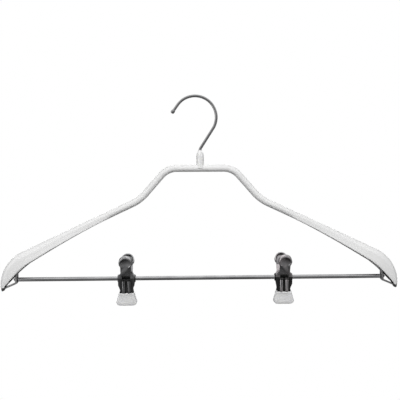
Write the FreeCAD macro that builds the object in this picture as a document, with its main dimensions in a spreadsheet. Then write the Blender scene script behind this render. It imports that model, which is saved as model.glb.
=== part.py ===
"""Skirt hanger: coated tube frame, swivel hook, bar and two sliding spring clips.

Millimetres. +Z is up, +X runs along the bar, -Y is the front. The origin lies on the swivel axis,
where the inside of the hook rests on its rail.
"""
import FreeCAD
import Part
import Sketcher
import math
import os
import re

Vector = FreeCAD.Vector

SIZES = {
    # hook
    "hook_wire": 3.0,
    "hook_inner_radius": 21.0,
    "hook_offset": 5.1,
    "hook_bend_radius": 5.0,
    "hook_tip_length": 11.0,
    "hook_tip_angle": 54.5,
    "head_radius": 2.4,
    "head_height": 1.8,
    # neck: sleeve, socket and washer
    "neck_drop": 55.6,
    "neck_height": 19.0,
    "sleeve_radius": 4.0,
    "sleeve_top_radius": 2.0,
    "sleeve_taper": 6.4,
    "sleeve_skirt": 1.2,
    "sleeve_clearance": 0.2,
    "socket_bore_radius": 2.7,
    "socket_wall": 0.7,
    "socket_lip": 1.2,
    "socket_top_gap": 0.8,
    "socket_seat": 0.8,
    "shank_clearance": 0.06,
    "washer_height": 0.6,
    "washer_clearance": 0.1,
    "head_clearance": 0.05,
    # frame tube and its coating
    "top_half": 34.7,
    "slope_run": 29.0,
    "slope_drop": 33.2,
    "arm_angle": 25,
    "top_bend_radius": 22,
    "arm_bend_radius": 45,
    "coated_radius": 3.7,
    "core_radius": 2.6,
    "core_wall": 0.8,
    "core_reach": 14,
    # broad shoulder ends
    "half_span": 210,
    "shoulder_start": 44.5,
    "shoulder_half_depth": 8,
    "shoulder_height": 14.3,
    "shoulder_coat": 0.5,
    "hood_radius": 39,
    "hood_end_angle": 97,
    "tip_half_depth": 3.6,
    "tip_height": 4.6,
    "tip_wall": 1.5,
    # bar and its brackets
    "bar_rise": 6.3,
    "bar_radius": 2.2,
    "spigot_radius": 1.5,
    "spigot_clearance": 0.05,
    "rivet_radius": 2.0,
    "rivet_height": 1.2,
    "bracket_sheet": 1.4,
    "bracket_width": 7,
    "bracket_inset": 16.9,
    "bracket_foot": 3.1,
    "bracket_bend": 2.0,
    "lug_gap": 1.7,
    "toe_inset": 1.2,
    "toe_length": 4.2,
    "toe_step_run": 2.0,
    "toe_step_rise": 2.9,
    # clips: places on the bar, pivot tube and spring
    "left_clip_place": 78.3,
    "right_clip_place": 87.7,
    "pivot_radius": 2.8,
    "pivot_clearance": 0.06,
    "bar_clearance": 0.08,
    "flange_radius": 3.9,
    "flange_sheet": 0.6,
    "flange_clearance": 0.1,
    "spring_wire": 1.0,
    "spring_radius": 4.0,
    "spring_length": 8.6,
    "spring_leg": 9,
    # clips: jaws
    "jaw_sheet": 1.0,
    "jaw_stand": 5.2,
    "jaw_half": 8.6,
    "jaw_length": 26.9,
    "waist_half": 6.6,
    "waist_drop": 11.5,
    "tip_half": 9.4,
    "tip_corner": 2.5,
    "ear_radius": 4.2,
    "ear_rise": 3.0,
    "ear_fall": 6.5,
    "ear_gap": 0.2,
    "lever_angle": 26,
    "lever_length": 26.5,
    "lever_neck_half": 5.6,
    "lever_neck_height": 7.5,
    "pad_radius": 7.0,
    "rim_radius": 1.1,
    "rim_angle": 290,
    "rim_depth": 3.0,
    "flange_angle": 230,
    "dish_radius": 5.0,
    "dish_depth": 0.8,
    "window_half": 4.5,
    "window_rise": 3.6,
    "window_fall": 0.3,
    "rib_pitch": 5.8,
    "rib_half": 1.8,
    "rib_height": 1.5,
    "rib_start": 2.0,
    # clips: boots
    "boot_length": 13.2,
    "boot_wall": 1.3,
    "boot_lip": 0.7,
    "boot_round": 0.8,
    "grip_gap": 0.3,
    # how far every cut runs past what it cuts
    "overrun": 6,
}

# rounding of the hook's tip, as a share of its wire
TIP_ROUND_SHARE = 0.45

# full turns of each clip's spring, before the part turn between its legs
SPRING_TURNS = 5

# places and sizes that follow from the driving ones
PLACES = {
    "hook_radius": "hook_inner_radius + hook_wire / 2",
    "hook_centre_z": "-sqrt(hook_inner_radius^2 - hook_offset^2)",
    "shank_hole": "hook_wire / 2 + shank_clearance",
    "sleeve_hole": "hook_wire / 2 + sleeve_clearance",
    "socket_radius": "socket_bore_radius + socket_wall",
    "socket_top_z": "-neck_drop - sleeve_taper - socket_top_gap",
    "lip_z": "socket_top_z - socket_lip",
    "washer_z": "lip_z - head_clearance",
    "head_z": "washer_z - washer_height - head_clearance",
    "shoulder_sheet": "coated_radius - core_radius - shoulder_coat",
    "top_drop": "neck_drop + neck_height",
    "corner_x": "top_half + slope_run",
    "corner_z": "-top_drop - slope_drop",
    "hood_x": "half_span - hood_radius",
    "hood_start": "(hood_x + (hood_radius - coated_radius) * sin(arm_angle) - corner_x) / cos(arm_angle)",
    "hood_z": "corner_z - hood_start * sin(arm_angle) - (hood_radius - coated_radius) * cos(arm_angle)",
    "hood_turn": "hood_end_angle - arm_angle",
    "rim_start": "hood_radius - shoulder_height",
    "rim_end": "hood_radius - tip_height",
    "bar_drop": "-(hood_z) - bar_rise",
    "lug_x": "half_span - bracket_inset",
    "lug_top_z": "hood_z + sqrt((hood_radius - coated_radius + core_radius)^2 - (lug_x - hood_x)^2) - lug_gap",
    "foot_z": "-bar_drop - bracket_foot",
    "toe_end_x": "half_span - toe_inset",
    "toe_z": "hood_z - (toe_end_x - hood_x) * tan(hood_end_angle - 90) - bracket_sheet / 2",
    "bar_half": "lug_x - bracket_sheet / 2",
    "bar_end": "lug_x + bracket_sheet / 2",
    "back_half": "jaw_half - jaw_sheet - ear_gap",
    "pivot_half": "jaw_half + flange_clearance",
    "ear_hole": "pivot_radius + pivot_clearance",
    "jaw_angle": "asin((jaw_stand - boot_wall - grip_gap / 2) / (jaw_length + boot_wall))",
    "tip_bend": "jaw_length - tip_corner",
    "tip_flat": "tip_half - tip_corner",
    "pad_centre": "lever_length - pad_radius",
    "pad_foot": "pad_centre - sqrt(pad_radius^2 - lever_neck_half^2)",
    "dish_centre": "(dish_radius^2 - dish_depth^2) / (2 * dish_depth)",
    "boot_end": "jaw_length + boot_wall",
    "boot_top": "boot_end - boot_length",
    "boot_top_half": "waist_half + (tip_half - waist_half) * (boot_top - waist_drop) / (tip_bend - waist_drop)"
                     " + boot_lip",
    "boot_half": "tip_half + boot_wall",
    "rib_centre_y": "(rib_half^2 - rib_height^2) / (2 * rib_height)",
}

# even steps of the shoulder's sections along the arm, and round the hood
ARM_STEPS = 8
HOOD_STEPS = 8

# how late the shoulder's flanks grow along the arm
GROWTH_POWER = 1.55


def make_sheet():
    cells = doc.addObject("Spreadsheet::Sheet", "Sizes")
    for row, (name, size) in enumerate(SIZES.items(), start=1):
        cells.set("A%d" % row, name)
        cells.set("B%d" % row, str(size))
        cells.setAlias("B%d" % row, name)
    doc.recompute()
    return cells


def formula(text):
    """Turn a formula in plain size names into one that reads the sheet's cells."""
    def word(match):
        name = match.group(0)
        if name in PLACES:
            return "(" + formula(PLACES[name]) + ")"
        return "Sizes." + name if name in SIZES else name
    return re.sub(r"[a-z_]+", word, text)


def value(text):
    result = sheet.evalExpression(formula(text))
    return float(getattr(result, "Value", result))


def bind(thing, name, text):
    thing.setExpression(name, formula(text))


def new_body(label):
    body = doc.addObject("PartDesign::Body", label)
    body.Label = label
    return body


def origin_plane(body, role):
    return next(plane for plane in body.Origin.OriginFeatures if plane.Role == role)


def new_sketch(body, role, shift=("0", "0", "0"), axis=None, angle=None):
    """Sketch on one of the body's own planes, shifted in that plane's frame and turned about its axis."""
    sketch = body.newObject("Sketcher::SketchObject", body.Name + "_sketch")
    sketch.AttachmentSupport = (origin_plane(body, role), "")
    sketch.MapMode = "FlatFace"
    if axis:
        sketch.AttachmentOffset = FreeCAD.Placement(Vector(), FreeCAD.Rotation(Vector(*axis), value(angle)))
        bind(sketch, "AttachmentOffset.Rotation.Angle", angle)
    for letter, text in zip("xyz", shift):
        if text != "0":
            bind(sketch, "AttachmentOffset.Base." + letter, text)
    return sketch


def fix(sketch, kind, geometry, end, text):
    """Set a point's distance from the sketch's origin along one axis."""
    rule = sketch.addConstraint(Sketcher.Constraint(kind, -1, 1, geometry, end, value(text)))
    if text != "0":
        bind(sketch, "Constraints[%d]" % rule, text)


def fix_point(sketch, geometry, end, x, y):
    fix(sketch, "DistanceX", geometry, end, x)
    fix(sketch, "DistanceY", geometry, end, y)


def fix_radius(sketch, geometry, text):
    rule = sketch.addConstraint(Sketcher.Constraint("Radius", geometry, value(text)))
    bind(sketch, "Constraints[%d]" % rule, text)


def add_circle(sketch, x, y, radius):
    centre = Vector(value(x), value(y), 0)
    circle = sketch.addGeometry(Part.Circle(centre, Vector(0, 0, 1), value(radius)))
    fix_point(sketch, circle, 3, x, y)
    fix_radius(sketch, circle, radius)


def add_arc(sketch, first, last, centre, sense):
    """Arc from first to last; returns it with the numbers of its first and last ends."""
    circle = Part.Circle(centre, Vector(0, 0, 1), (first - centre).Length)
    angles = [math.atan2(point.y - centre.y, point.x - centre.x) for point in (first, last)]
    if sense < 0:
        angles.reverse()
    if angles[1] < angles[0]:
        angles[1] += 2 * math.pi
    arc = sketch.addGeometry(Part.ArcOfCircle(circle, *angles))
    return (arc, 1, 2) if sense > 0 else (arc, 2, 1)


def add_outline(sketch, steps):
    """Closed outline: (x, y) is a line to that point, (x, y, centre x, centre y, sense) an arc to it."""
    ends = [Vector(value(step[0]), value(step[1]), 0) for step in steps]
    pieces = []
    for number, step in enumerate(steps):
        first = ends[number - 1]
        last = ends[number]
        if len(step) == 2:
            pieces.append((sketch.addGeometry(Part.LineSegment(first, last)), 1, 2))
        else:
            centre = Vector(value(step[2]), value(step[3]), 0)
            pieces.append(add_arc(sketch, first, last, centre, step[4]))
    for number, step in enumerate(steps):
        before = pieces[number - 1]
        piece, first_end, last_end = pieces[number]
        sketch.addConstraint(Sketcher.Constraint("Coincident", before[0], before[2], piece, first_end))
        fix_point(sketch, piece, last_end, step[0], step[1])
        if len(step) > 2:
            chord = ends[number] - ends[number - 1]
            if abs(chord.x) >= abs(chord.y):
                fix(sketch, "DistanceY", piece, 3, step[3])
            else:
                fix(sketch, "DistanceX", piece, 3, step[2])


def add_bent_path(sketch, corners, radii):
    """Open path of straight runs through the corners, each inner corner rounded by a tangent arc."""
    points = [Vector(value(x), value(y), 0) for x, y in corners]
    starts = [points[0]]
    stops = []
    arcs = []
    for number, radius in enumerate(radii, start=1):
        back = (points[number - 1] - points[number]).normalize()
        ahead = (points[number + 1] - points[number]).normalize()
        turn = math.pi - back.getAngle(ahead)
        tangent = value(radius) * math.tan(turn / 2)
        enter = points[number] + back * tangent
        leave = points[number] + ahead * tangent
        bisector = (back + ahead).normalize()
        centre = points[number] + bisector * (value(radius) / math.cos(turn / 2))
        stops.append(enter)
        starts.append(leave)
        arcs.append((enter, leave, centre, 1 if back.cross(ahead).z < 0 else -1))
    stops.append(points[-1])
    lines = [sketch.addGeometry(Part.LineSegment(a, b)) for a, b in zip(starts, stops)]
    fix_point(sketch, lines[0], 1, *corners[0])
    fix_point(sketch, lines[-1], 2, *corners[-1])
    for number, radius in enumerate(radii):
        mark = sketch.addGeometry(Part.Point(points[number + 1]), True)
        fix_point(sketch, mark, 1, *corners[number + 1])
        for line in lines[number:number + 2]:
            sketch.addConstraint(Sketcher.Constraint("PointOnObject", mark, 1, line))
        arc, first_end, last_end = add_arc(sketch, *arcs[number])
        sketch.addConstraint(Sketcher.Constraint("Tangent", lines[number], 2, arc, first_end))
        sketch.addConstraint(Sketcher.Constraint("Tangent", arc, last_end, lines[number + 1], 1))
        fix_radius(sketch, arc, radius)


def mirrored_steps(steps):
    """The steps of a half outline and, in reverse, their mirror across the sketch's upright axis."""
    return list(steps) + [("-(%s)" % x, y) for x, y in reversed(steps)]


def pad(body, sketch, length, back=None, reversed_way=False, symmetric=False):
    feature = body.newObject("PartDesign::Pad", body.Name + "_pad")
    feature.Profile = sketch
    feature.Reversed = reversed_way
    if symmetric:
        feature.SideType = "Symmetric"
    bind(feature, "Length", length)
    if back:
        feature.SideType = "Two sides"
        bind(feature, "Length2", back)
    return feature


def pocket(body, sketch, length=None, reversed_way=False):
    """Cut through everything both ways or, with a length, one way from the sketch."""
    feature = body.newObject("PartDesign::Pocket", body.Name + "_pocket")
    feature.Profile = sketch
    feature.Reversed = reversed_way
    if length:
        bind(feature, "Length", length)
    else:
        feature.Type = "ThroughAll"
        feature.SideType = "Symmetric"
    return feature


def revolve(body, sketch, axis, kind="PartDesign::Revolution"):
    feature = body.newObject(kind, body.Name + "_turned")
    feature.Profile = sketch
    feature.ReferenceAxis = (sketch, [axis])
    return feature


def pipe(body, profile, spine):
    feature = body.newObject("PartDesign::AdditivePipe", body.Name + "_pipe")
    feature.Profile = profile
    feature.Spine = spine
    return feature


def loft(body, sections, kind):
    feature = body.newObject("PartDesign::" + kind, body.Name + "_loft")
    feature.Profile = sections[0]
    feature.Sections = sections[1:]
    return feature


def mirror_piece(source, label):
    copy = doc.addObject("Part::Mirroring", label)
    copy.Label = label
    copy.Source = source
    copy.Normal = Vector(1, 0, 0)
    return copy


def make_hook():
    """Round wire: shank with an upset head, small bend, lean, large bend and straight tip."""
    body = new_body("hook")
    path = new_sketch(body, "XZ_Plane")
    centre = Vector(-value("hook_offset"), value("hook_centre_z"), 0)
    radius = value("hook_radius")
    bend = value("hook_bend_radius")
    neck = Vector(0, -value("neck_drop"), 0)
    foot = Vector(0, value("head_z - head_height"), 0)
    bend_centre = neck + Vector(bend, 0, 0)
    # the lean is the line that passes between the two bends and touches both
    between = centre - bend_centre
    tilt = math.atan2(between.y, between.x) - math.asin((radius + bend) / between.Length)
    across = Vector(-math.sin(tilt), math.cos(tilt), 0)
    lean_foot = bend_centre + across * bend
    lean_top = centre - across * radius
    tip_angle = math.radians(180 + value("hook_tip_angle"))
    tip_way = Vector(math.cos(tip_angle), math.sin(tip_angle), 0)
    tip_start = centre + Vector(tip_way.y, -tip_way.x, 0) * radius
    tip_end = tip_start + tip_way * value("hook_tip_length")

    shank = path.addGeometry(Part.LineSegment(foot, neck))
    small = add_arc(path, neck, lean_foot, bend_centre, -1)
    lean = path.addGeometry(Part.LineSegment(lean_foot, lean_top))
    large = add_arc(path, lean_top, tip_start, centre, 1)
    tip = path.addGeometry(Part.LineSegment(tip_start, tip_end))

    fix_point(path, shank, 1, "0", "head_z - head_height")
    fix_point(path, shank, 2, "0", "-neck_drop")
    path.addConstraint(Sketcher.Constraint("Tangent", shank, 2, small[0], small[1]))
    fix_radius(path, small[0], "hook_bend_radius")
    path.addConstraint(Sketcher.Constraint("Tangent", small[0], small[2], lean, 1))
    path.addConstraint(Sketcher.Constraint("Tangent", lean, 2, large[0], large[1]))
    fix_radius(path, large[0], "hook_radius")
    fix_point(path, large[0], 3, "-hook_offset", "hook_centre_z")
    path.addConstraint(Sketcher.Constraint("Tangent", large[0], large[2], tip, 1))
    fix_point(path, tip, 2, *hook_tip())

    section = new_sketch(body, "XY_Plane", ("0", "0", "head_z - head_height"))
    add_circle(section, "0", "0", "hook_wire / 2")
    wire = pipe(body, section, path)
    doc.recompute()
    end = "Edge%d" % (1 + min(
        range(len(wire.Shape.Edges)),
        key=lambda number: (wire.Shape.Edges[number].CenterOfMass - Vector(tip_end.x, 0, tip_end.y)).Length))
    rounding = body.newObject("PartDesign::Fillet", "hook_tip_round")
    rounding.Base = (wire, [end])
    bind(rounding, "Radius", "hook_wire * %g" % TIP_ROUND_SHARE)
    head = new_sketch(body, "XY_Plane", ("0", "0", "head_z"))
    add_circle(head, "0", "0", "head_radius")
    pad(body, head, "head_height", reversed_way=True)
    return body


def hook_tip():
    """Where the straight tip ends, past the point at which it leaves the large bend."""
    x = "-hook_offset - hook_radius * sin(hook_tip_angle) - hook_tip_length * cos(hook_tip_angle)"
    z = "hook_centre_z + hook_radius * cos(hook_tip_angle) - hook_tip_length * sin(hook_tip_angle)"
    return x, z


def make_hook_washer():
    """Thrust washer between the hook's head and the socket's lip."""
    body = new_body("hook_washer")
    ring = new_sketch(body, "XY_Plane", ("0", "0", "washer_z"))
    add_circle(ring, "0", "0", "socket_bore_radius - washer_clearance")
    add_circle(ring, "0", "0", "shank_hole")
    pad(body, ring, "washer_height", reversed_way=True)
    return body


def make_neck_socket():
    """Steel bush welded on the tube, its lip holds the hook's head."""
    body = new_body("neck_socket")
    half = new_sketch(body, "XZ_Plane")
    add_outline(half, [
        ("socket_radius", "socket_top_z"),
        ("shank_hole", "socket_top_z"),
        ("shank_hole", "lip_z"),
        ("socket_bore_radius", "lip_z"),
        ("socket_bore_radius", "-top_drop + socket_seat"),
        ("socket_radius", "-top_drop + socket_seat"),
    ])
    revolve(body, half, "V_Axis")
    saddle = new_sketch(body, "YZ_Plane")
    add_circle(saddle, "0", "-top_drop", "core_radius")
    pocket(body, saddle)
    return body


def make_neck_sleeve():
    """White tapered sleeve over the socket, saddled on the coated tube."""
    body = new_body("neck_sleeve")
    half = new_sketch(body, "XZ_Plane")
    add_outline(half, [
        ("sleeve_top_radius", "-neck_drop"),
        ("sleeve_hole", "-neck_drop"),
        ("sleeve_hole", "socket_top_z"),
        ("socket_radius", "socket_top_z"),
        ("socket_radius", "-top_drop + sleeve_skirt"),
        ("sleeve_radius", "-top_drop + sleeve_skirt"),
        ("sleeve_radius", "-neck_drop - sleeve_taper"),
    ])
    revolve(body, half, "V_Axis")
    saddle = new_sketch(body, "YZ_Plane")
    add_circle(saddle, "0", "-top_drop", "coated_radius")
    pocket(body, saddle)
    return body


def frame_pipe(label, reach, outer, inner):
    """Hollow tube along the frame's bends, as far out along both arms as reach."""
    body = new_body(label)
    path = new_sketch(body, "XZ_Plane")
    right = [
        ("top_half", "-top_drop"),
        ("corner_x", "corner_z"),
        ("corner_x + (%s) * cos(arm_angle)" % reach, "corner_z - (%s) * sin(arm_angle)" % reach),
    ]
    left = [("-(%s)" % x, z) for x, z in reversed(right)]
    bends = ["arm_bend_radius", "top_bend_radius", "top_bend_radius", "arm_bend_radius"]
    add_bent_path(path, left + right, bends)
    end_x, end_z = left[0]
    section = new_sketch(body, "YZ_Plane", ("0", end_z, end_x), (1, 0, 0), "-arm_angle")
    add_circle(section, "0", "0", outer)
    add_circle(section, "0", "0", inner)
    pipe(body, section, path)
    return body


def make_frame_tube():
    return frame_pipe("frame_tube", "shoulder_start + core_reach", "core_radius", "core_radius - core_wall")


def make_frame_coating():
    """White coating of the tube, opened at the top for the neck socket."""
    body = frame_pipe("frame_coating", "shoulder_start", "coated_radius", "core_radius")
    hole = new_sketch(body, "XY_Plane", ("0", "0", "-top_drop + socket_seat"))
    add_circle(hole, "0", "0", "socket_radius")
    pocket(body, hole, "coated_radius + overrun", reversed_way=True)
    return body


def shoulder_section(body, crest, angle, half, height):
    """Upturned U across the arm: a half round crest on two straight flanks."""
    sketch = new_sketch(body, "YZ_Plane", ("0", crest[1], crest[0]), (1, 0, 0), angle)
    add_outline(sketch, [
        (half, "-(%s)" % half),
        ("-(%s)" % half, "-(%s)" % half, "0", "-(%s)" % half, 1),
        ("-(%s)" % half, "-(%s)" % height),
        (half, "-(%s)" % height),
    ])
    return sketch


def arm_section(body, share, inset, drop):
    """Section at a share of the way along the arm; the width eases in and out, the flanks grow late."""
    along = "(shoulder_start + (hood_start - shoulder_start) * %g)" % share
    crest = (
        "corner_x + (coated_radius - (%s)) * sin(arm_angle) + %s * cos(arm_angle)" % (inset, along),
        "corner_z + (coated_radius - (%s)) * cos(arm_angle) - %s * sin(arm_angle)" % (inset, along),
    )
    width_share = (1 - math.cos(math.pi * share)) / 2
    height_share = share ** GROWTH_POWER
    half = "coated_radius + (shoulder_half_depth - coated_radius) * %g - (%s)" % (width_share, inset)
    height = "2 * coated_radius + (shoulder_height - 2 * coated_radius) * %g - (%s) + %s" % (
        height_share, inset, drop)
    return shoulder_section(body, crest, "arm_angle", half, height)


def hood_section(body, share, inset, drop, end_wall):
    """Section at a share of the turn round the hood: its plan is part of an ellipse, its rim is straight."""
    angle = "(arm_angle + (hood_turn - %s / hood_radius * 180 / pi) * %g)" % (end_wall, share)
    crest = (
        "hood_x + (hood_radius - (%s)) * sin(%s)" % (inset, angle),
        "hood_z + (hood_radius - (%s)) * cos(%s)" % (inset, angle),
    )
    half = "sqrt(shoulder_half_depth^2 - (shoulder_half_depth^2 - tip_half_depth^2) * %g) - (%s)" % (
        share ** 2, inset)
    lean = "(rim_start * sin(hood_turn * %g) + rim_end * sin(hood_turn * %g))" % (share, 1 - share)
    height = "hood_radius - rim_start * rim_end * sin(hood_turn) / %s - (%s) + %s" % (lean, inset, drop)
    return shoulder_section(body, crest, angle, half, height)


def shoulder_sections(body, inset, drop="0", end_wall="0"):
    """Sections of the right shoulder, drawn in by inset and let down past the rim by drop."""
    arm = [arm_section(body, step / ARM_STEPS, inset, drop) for step in range(ARM_STEPS)]
    hood = [hood_section(body, step / HOOD_STEPS, inset, drop, end_wall) for step in range(HOOD_STEPS + 1)]
    return arm + hood


def make_shoulder():
    """Steel pressing of the right shoulder, hollow and open below."""
    body = new_body("right_shoulder")
    loft(body, shoulder_sections(body, "shoulder_coat"), "AdditiveLoft")
    hollow = shoulder_sections(body, "shoulder_coat + shoulder_sheet", "overrun", "tip_wall")
    loft(body, hollow, "SubtractiveLoft")
    return body


def make_shoulder_coating():
    """White coating over the right shoulder's crest and flanks."""
    body = new_body("right_shoulder_coating")
    loft(body, shoulder_sections(body, "0"), "AdditiveLoft")
    loft(body, shoulder_sections(body, "shoulder_coat", "overrun"), "SubtractiveLoft")
    return body


def make_bar():
    """Round bar with a spigot through each bracket, riveted over outside it."""
    body = new_body("bar")
    half = new_sketch(body, "XZ_Plane", ("0", "-bar_drop", "0"))
    rivet_centre = "bar_end - (rivet_radius^2 - rivet_height^2) / (2 * rivet_height)"
    add_outline(half, [
        ("bar_end + rivet_height", "0"),
        ("bar_end", "rivet_radius", rivet_centre, "0", 1),
        ("bar_end", "spigot_radius"),
        ("bar_half", "spigot_radius"),
        ("bar_half", "bar_radius"),
        ("-(bar_half)", "bar_radius"),
        ("-(bar_half)", "spigot_radius"),
        ("-(bar_end)", "spigot_radius"),
        ("-(bar_end)", "rivet_radius"),
        ("-(bar_end + rivet_height)", "0", "-(%s)" % rivet_centre, "0", 1),
    ])
    revolve(body, half, "H_Axis")
    return body


def make_bar_bracket():
    """Bent strip under the right shoulder: lug for the bar, strap, and toe welded below the tip."""
    body = new_body("right_bar_bracket")
    path = new_sketch(body, "XZ_Plane")
    corners = [
        ("lug_x", "lug_top_z"),
        ("lug_x", "foot_z"),
        ("toe_end_x - toe_length - toe_step_run", "toe_z + toe_step_rise"),
        ("toe_end_x - toe_length", "toe_z"),
        ("toe_end_x", "toe_z"),
    ]
    add_bent_path(path, corners, ["bracket_bend"] * 3)
    strip = new_sketch(body, "XY_Plane", ("lug_x", "0", "lug_top_z"))
    add_outline(strip, mirrored_steps([
        ("bracket_sheet / 2", "-bracket_width / 2"),
        ("bracket_sheet / 2", "bracket_width / 2"),
    ]))
    pipe(body, strip, path)
    hole = new_sketch(body, "YZ_Plane", ("0", "-bar_drop", "lug_x"))
    add_circle(hole, "0", "0", "spigot_radius + spigot_clearance")
    drill = pocket(body, hole, "bracket_sheet")
    drill.SideType = "Symmetric"
    return body


def place_on_bar(body, side, turned=False):
    """Put a clip piece on the bar at its side's place; a back piece is turned half round."""
    body.Placement = FreeCAD.Placement(Vector(), FreeCAD.Rotation(Vector(0, 0, 1), 180 if turned else 0))
    bind(body, "Placement.Base.x", "-left_clip_place" if side == "left" else "right_clip_place")
    bind(body, "Placement.Base.z", "-bar_drop")


def make_pivot_tube(side):
    """Hollow rivet that slides on the bar and carries both jaws."""
    body = new_body(side + "_pivot_tube")
    half = new_sketch(body, "XZ_Plane")
    add_outline(half, mirrored_steps([
        ("pivot_half", "pivot_radius"),
        ("pivot_half", "flange_radius"),
        ("pivot_half + flange_sheet", "flange_radius"),
        ("pivot_half + flange_sheet", "bar_radius + bar_clearance"),
    ]))
    revolve(body, half, "H_Axis")
    place_on_bar(body, side)
    return body


def add_jaw_outline(sketch, half):
    """Lower half of a jaw: ears' width, waist, and a wide tip with round corners."""
    add_outline(sketch, [
        ("-(%s)" % half, "0"),
        ("-(%s)" % half, "-ear_fall"),
        ("-waist_half", "-waist_drop"),
        ("-tip_half", "-(tip_bend)"),
        ("-(tip_flat)", "-jaw_length", "-(tip_flat)", "-(tip_bend)", 1),
        ("tip_flat", "-jaw_length"),
        ("tip_half", "-(tip_bend)", "tip_flat", "-(tip_bend)", 1),
        ("waist_half", "-waist_drop"),
        (half, "-ear_fall"),
        (half, "0"),
    ])


def jaw_plane(body, angle):
    """Sketch on the inner face of a jaw plate, which leans out about the knuckle beside the pivot."""
    return new_sketch(body, "XZ_Plane", ("0", "0", "jaw_stand"), (1, 0, 0), angle)


def lever_side(body):
    """Sketch seen from the side, its upright axis along the lever's inner face."""
    return new_sketch(body, "YZ_Plane", ("-jaw_stand", "0", "0"), (0, 0, 1), "lever_angle")


def add_pad_axis(sketch):
    """Construction line through the finger pad's centre, square to the lever."""
    ends = [Vector(-value("jaw_sheet"), value("pad_centre"), 0), Vector(0, value("pad_centre"), 0)]
    line = sketch.addGeometry(Part.LineSegment(*ends), True)
    fix_point(sketch, line, 1, "-jaw_sheet", "pad_centre")
    fix_point(sketch, line, 2, "0", "pad_centre")


def make_jaw(side, face):
    """Pressed jaw: lever with a cupped finger pad, ribbed lower plate, window and two ears."""
    body = new_body("%s_%s_jaw" % (side, face))
    half = "jaw_half" if face == "front" else "back_half"

    lever = jaw_plane(body, "lever_angle")
    add_outline(lever, [
        (half, "0"),
        (half, "ear_rise"),
        ("lever_neck_half", "lever_neck_height"),
        ("lever_neck_half", "pad_foot"),
        ("-lever_neck_half", "pad_foot", "0", "pad_centre", 1),
        ("-lever_neck_half", "lever_neck_height"),
        ("-(%s)" % half, "ear_rise"),
        ("-(%s)" % half, "0"),
    ])
    pad(body, lever, "jaw_sheet")

    lower = jaw_plane(body, "jaw_angle")
    add_jaw_outline(lower, half)
    pad(body, lower, "jaw_sheet")

    window = new_sketch(body, "XZ_Plane")
    add_outline(window, mirrored_steps([("window_half", "-window_fall"), ("window_half", "window_rise")]))
    pocket(body, window)

    rib_top = (
        "0",
        "-jaw_stand + rib_start * sin(jaw_angle) - jaw_sheet * cos(jaw_angle)",
        "-rib_start * cos(jaw_angle) - jaw_sheet * sin(jaw_angle)",
    )
    ribs = new_sketch(body, "XY_Plane", rib_top, (1, 0, 0), "jaw_angle")
    for centre in ("-rib_pitch / 2", "rib_pitch / 2"):
        add_outline(ribs, [
            ("%s - rib_half" % centre, "jaw_sheet / 2"),
            ("%s + rib_half" % centre, "jaw_sheet / 2"),
            ("%s + rib_half" % centre, "0"),
            ("%s - rib_half" % centre, "0", centre, "rib_centre_y", -1),
        ])
    pad(body, ribs, "boot_top - rib_start", reversed_way=True)

    dish = lever_side(body)
    add_pad_axis(dish)
    add_outline(dish, [
        ("-jaw_sheet - overrun", "pad_centre"),
        ("-jaw_sheet + dish_depth", "pad_centre"),
        ("-jaw_sheet", "pad_centre + dish_radius", "-jaw_sheet - dish_centre", "pad_centre", 1),
        ("-jaw_sheet - overrun", "pad_centre + dish_radius"),
    ])
    revolve(body, dish, "Axis0", "PartDesign::Groove")

    flange = lever_side(body)
    add_pad_axis(flange)
    add_outline(flange, [
        ("-jaw_sheet / 2", "lever_length - jaw_sheet"),
        ("rim_depth", "lever_length - jaw_sheet"),
        ("rim_depth", "lever_length"),
        ("-jaw_sheet / 2", "lever_length"),
    ])
    bead = lever_side(body)
    add_pad_axis(bead)
    add_circle(bead, "-jaw_sheet / 2", "lever_length - rim_radius", "rim_radius")
    for sketch, angle in ((flange, "flange_angle"), (bead, "rim_angle")):
        ring = revolve(body, sketch, "Axis0")
        ring.Midplane = True
        bind(ring, "Angle", angle)

    ear = new_sketch(body, "YZ_Plane", ("0", "0", "%s - jaw_sheet" % half))
    sink = "jaw_sheet / 2"
    add_outline(ear, [
        ("-jaw_stand - ear_rise * sin(lever_angle) - %s" % sink, "ear_rise * cos(lever_angle)"),
        ("-jaw_stand - %s" % sink, "0"),
        ("-jaw_stand + ear_fall * sin(jaw_angle) - %s" % sink, "-ear_fall * cos(jaw_angle)"),
        ("0", "-ear_radius"),
        ("0", "ear_radius", "0", "0", 1),
    ])
    add_circle(ear, "0", "0", "ear_hole")
    one_ear = pad(body, ear, "jaw_sheet")
    ears = body.newObject("PartDesign::Mirrored", body.Name + "_ears")
    ears.Originals = [one_ear]
    ears.MirrorPlane = (origin_plane(body, "YZ_Plane"), [""])
    body.Tip = ears
    place_on_bar(body, side, face == "back")
    return body


def make_boot(side, face):
    """Soft white boot moulded over a jaw's tip."""
    body = new_body("%s_%s_boot" % (side, face))
    outer = jaw_plane(body, "jaw_angle")
    add_outline(outer, [
        ("-(boot_top_half)", "-(boot_top)"),
        ("-(boot_half)", "-(tip_bend)"),
        ("-(tip_flat)", "-(boot_end)", "-(tip_flat)", "-(tip_bend)", 1),
        ("tip_flat", "-(boot_end)"),
        ("boot_half", "-(tip_bend)", "tip_flat", "-(tip_bend)", 1),
        ("boot_top_half", "-(boot_top)"),
    ])
    block = pad(body, outer, "jaw_sheet + boot_wall", "boot_wall")
    doc.recompute()
    rounding = body.newObject("PartDesign::Fillet", body.Name + "_round")
    rounding.Base = (block, [""])
    rounding.UseAllEdges = True
    bind(rounding, "Radius", "boot_round")
    slot = jaw_plane(body, "jaw_angle")
    add_jaw_outline(slot, "jaw_half")
    pocket(body, slot, "jaw_sheet", reversed_way=True)
    place_on_bar(body, side, face == "back")
    return body


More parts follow.
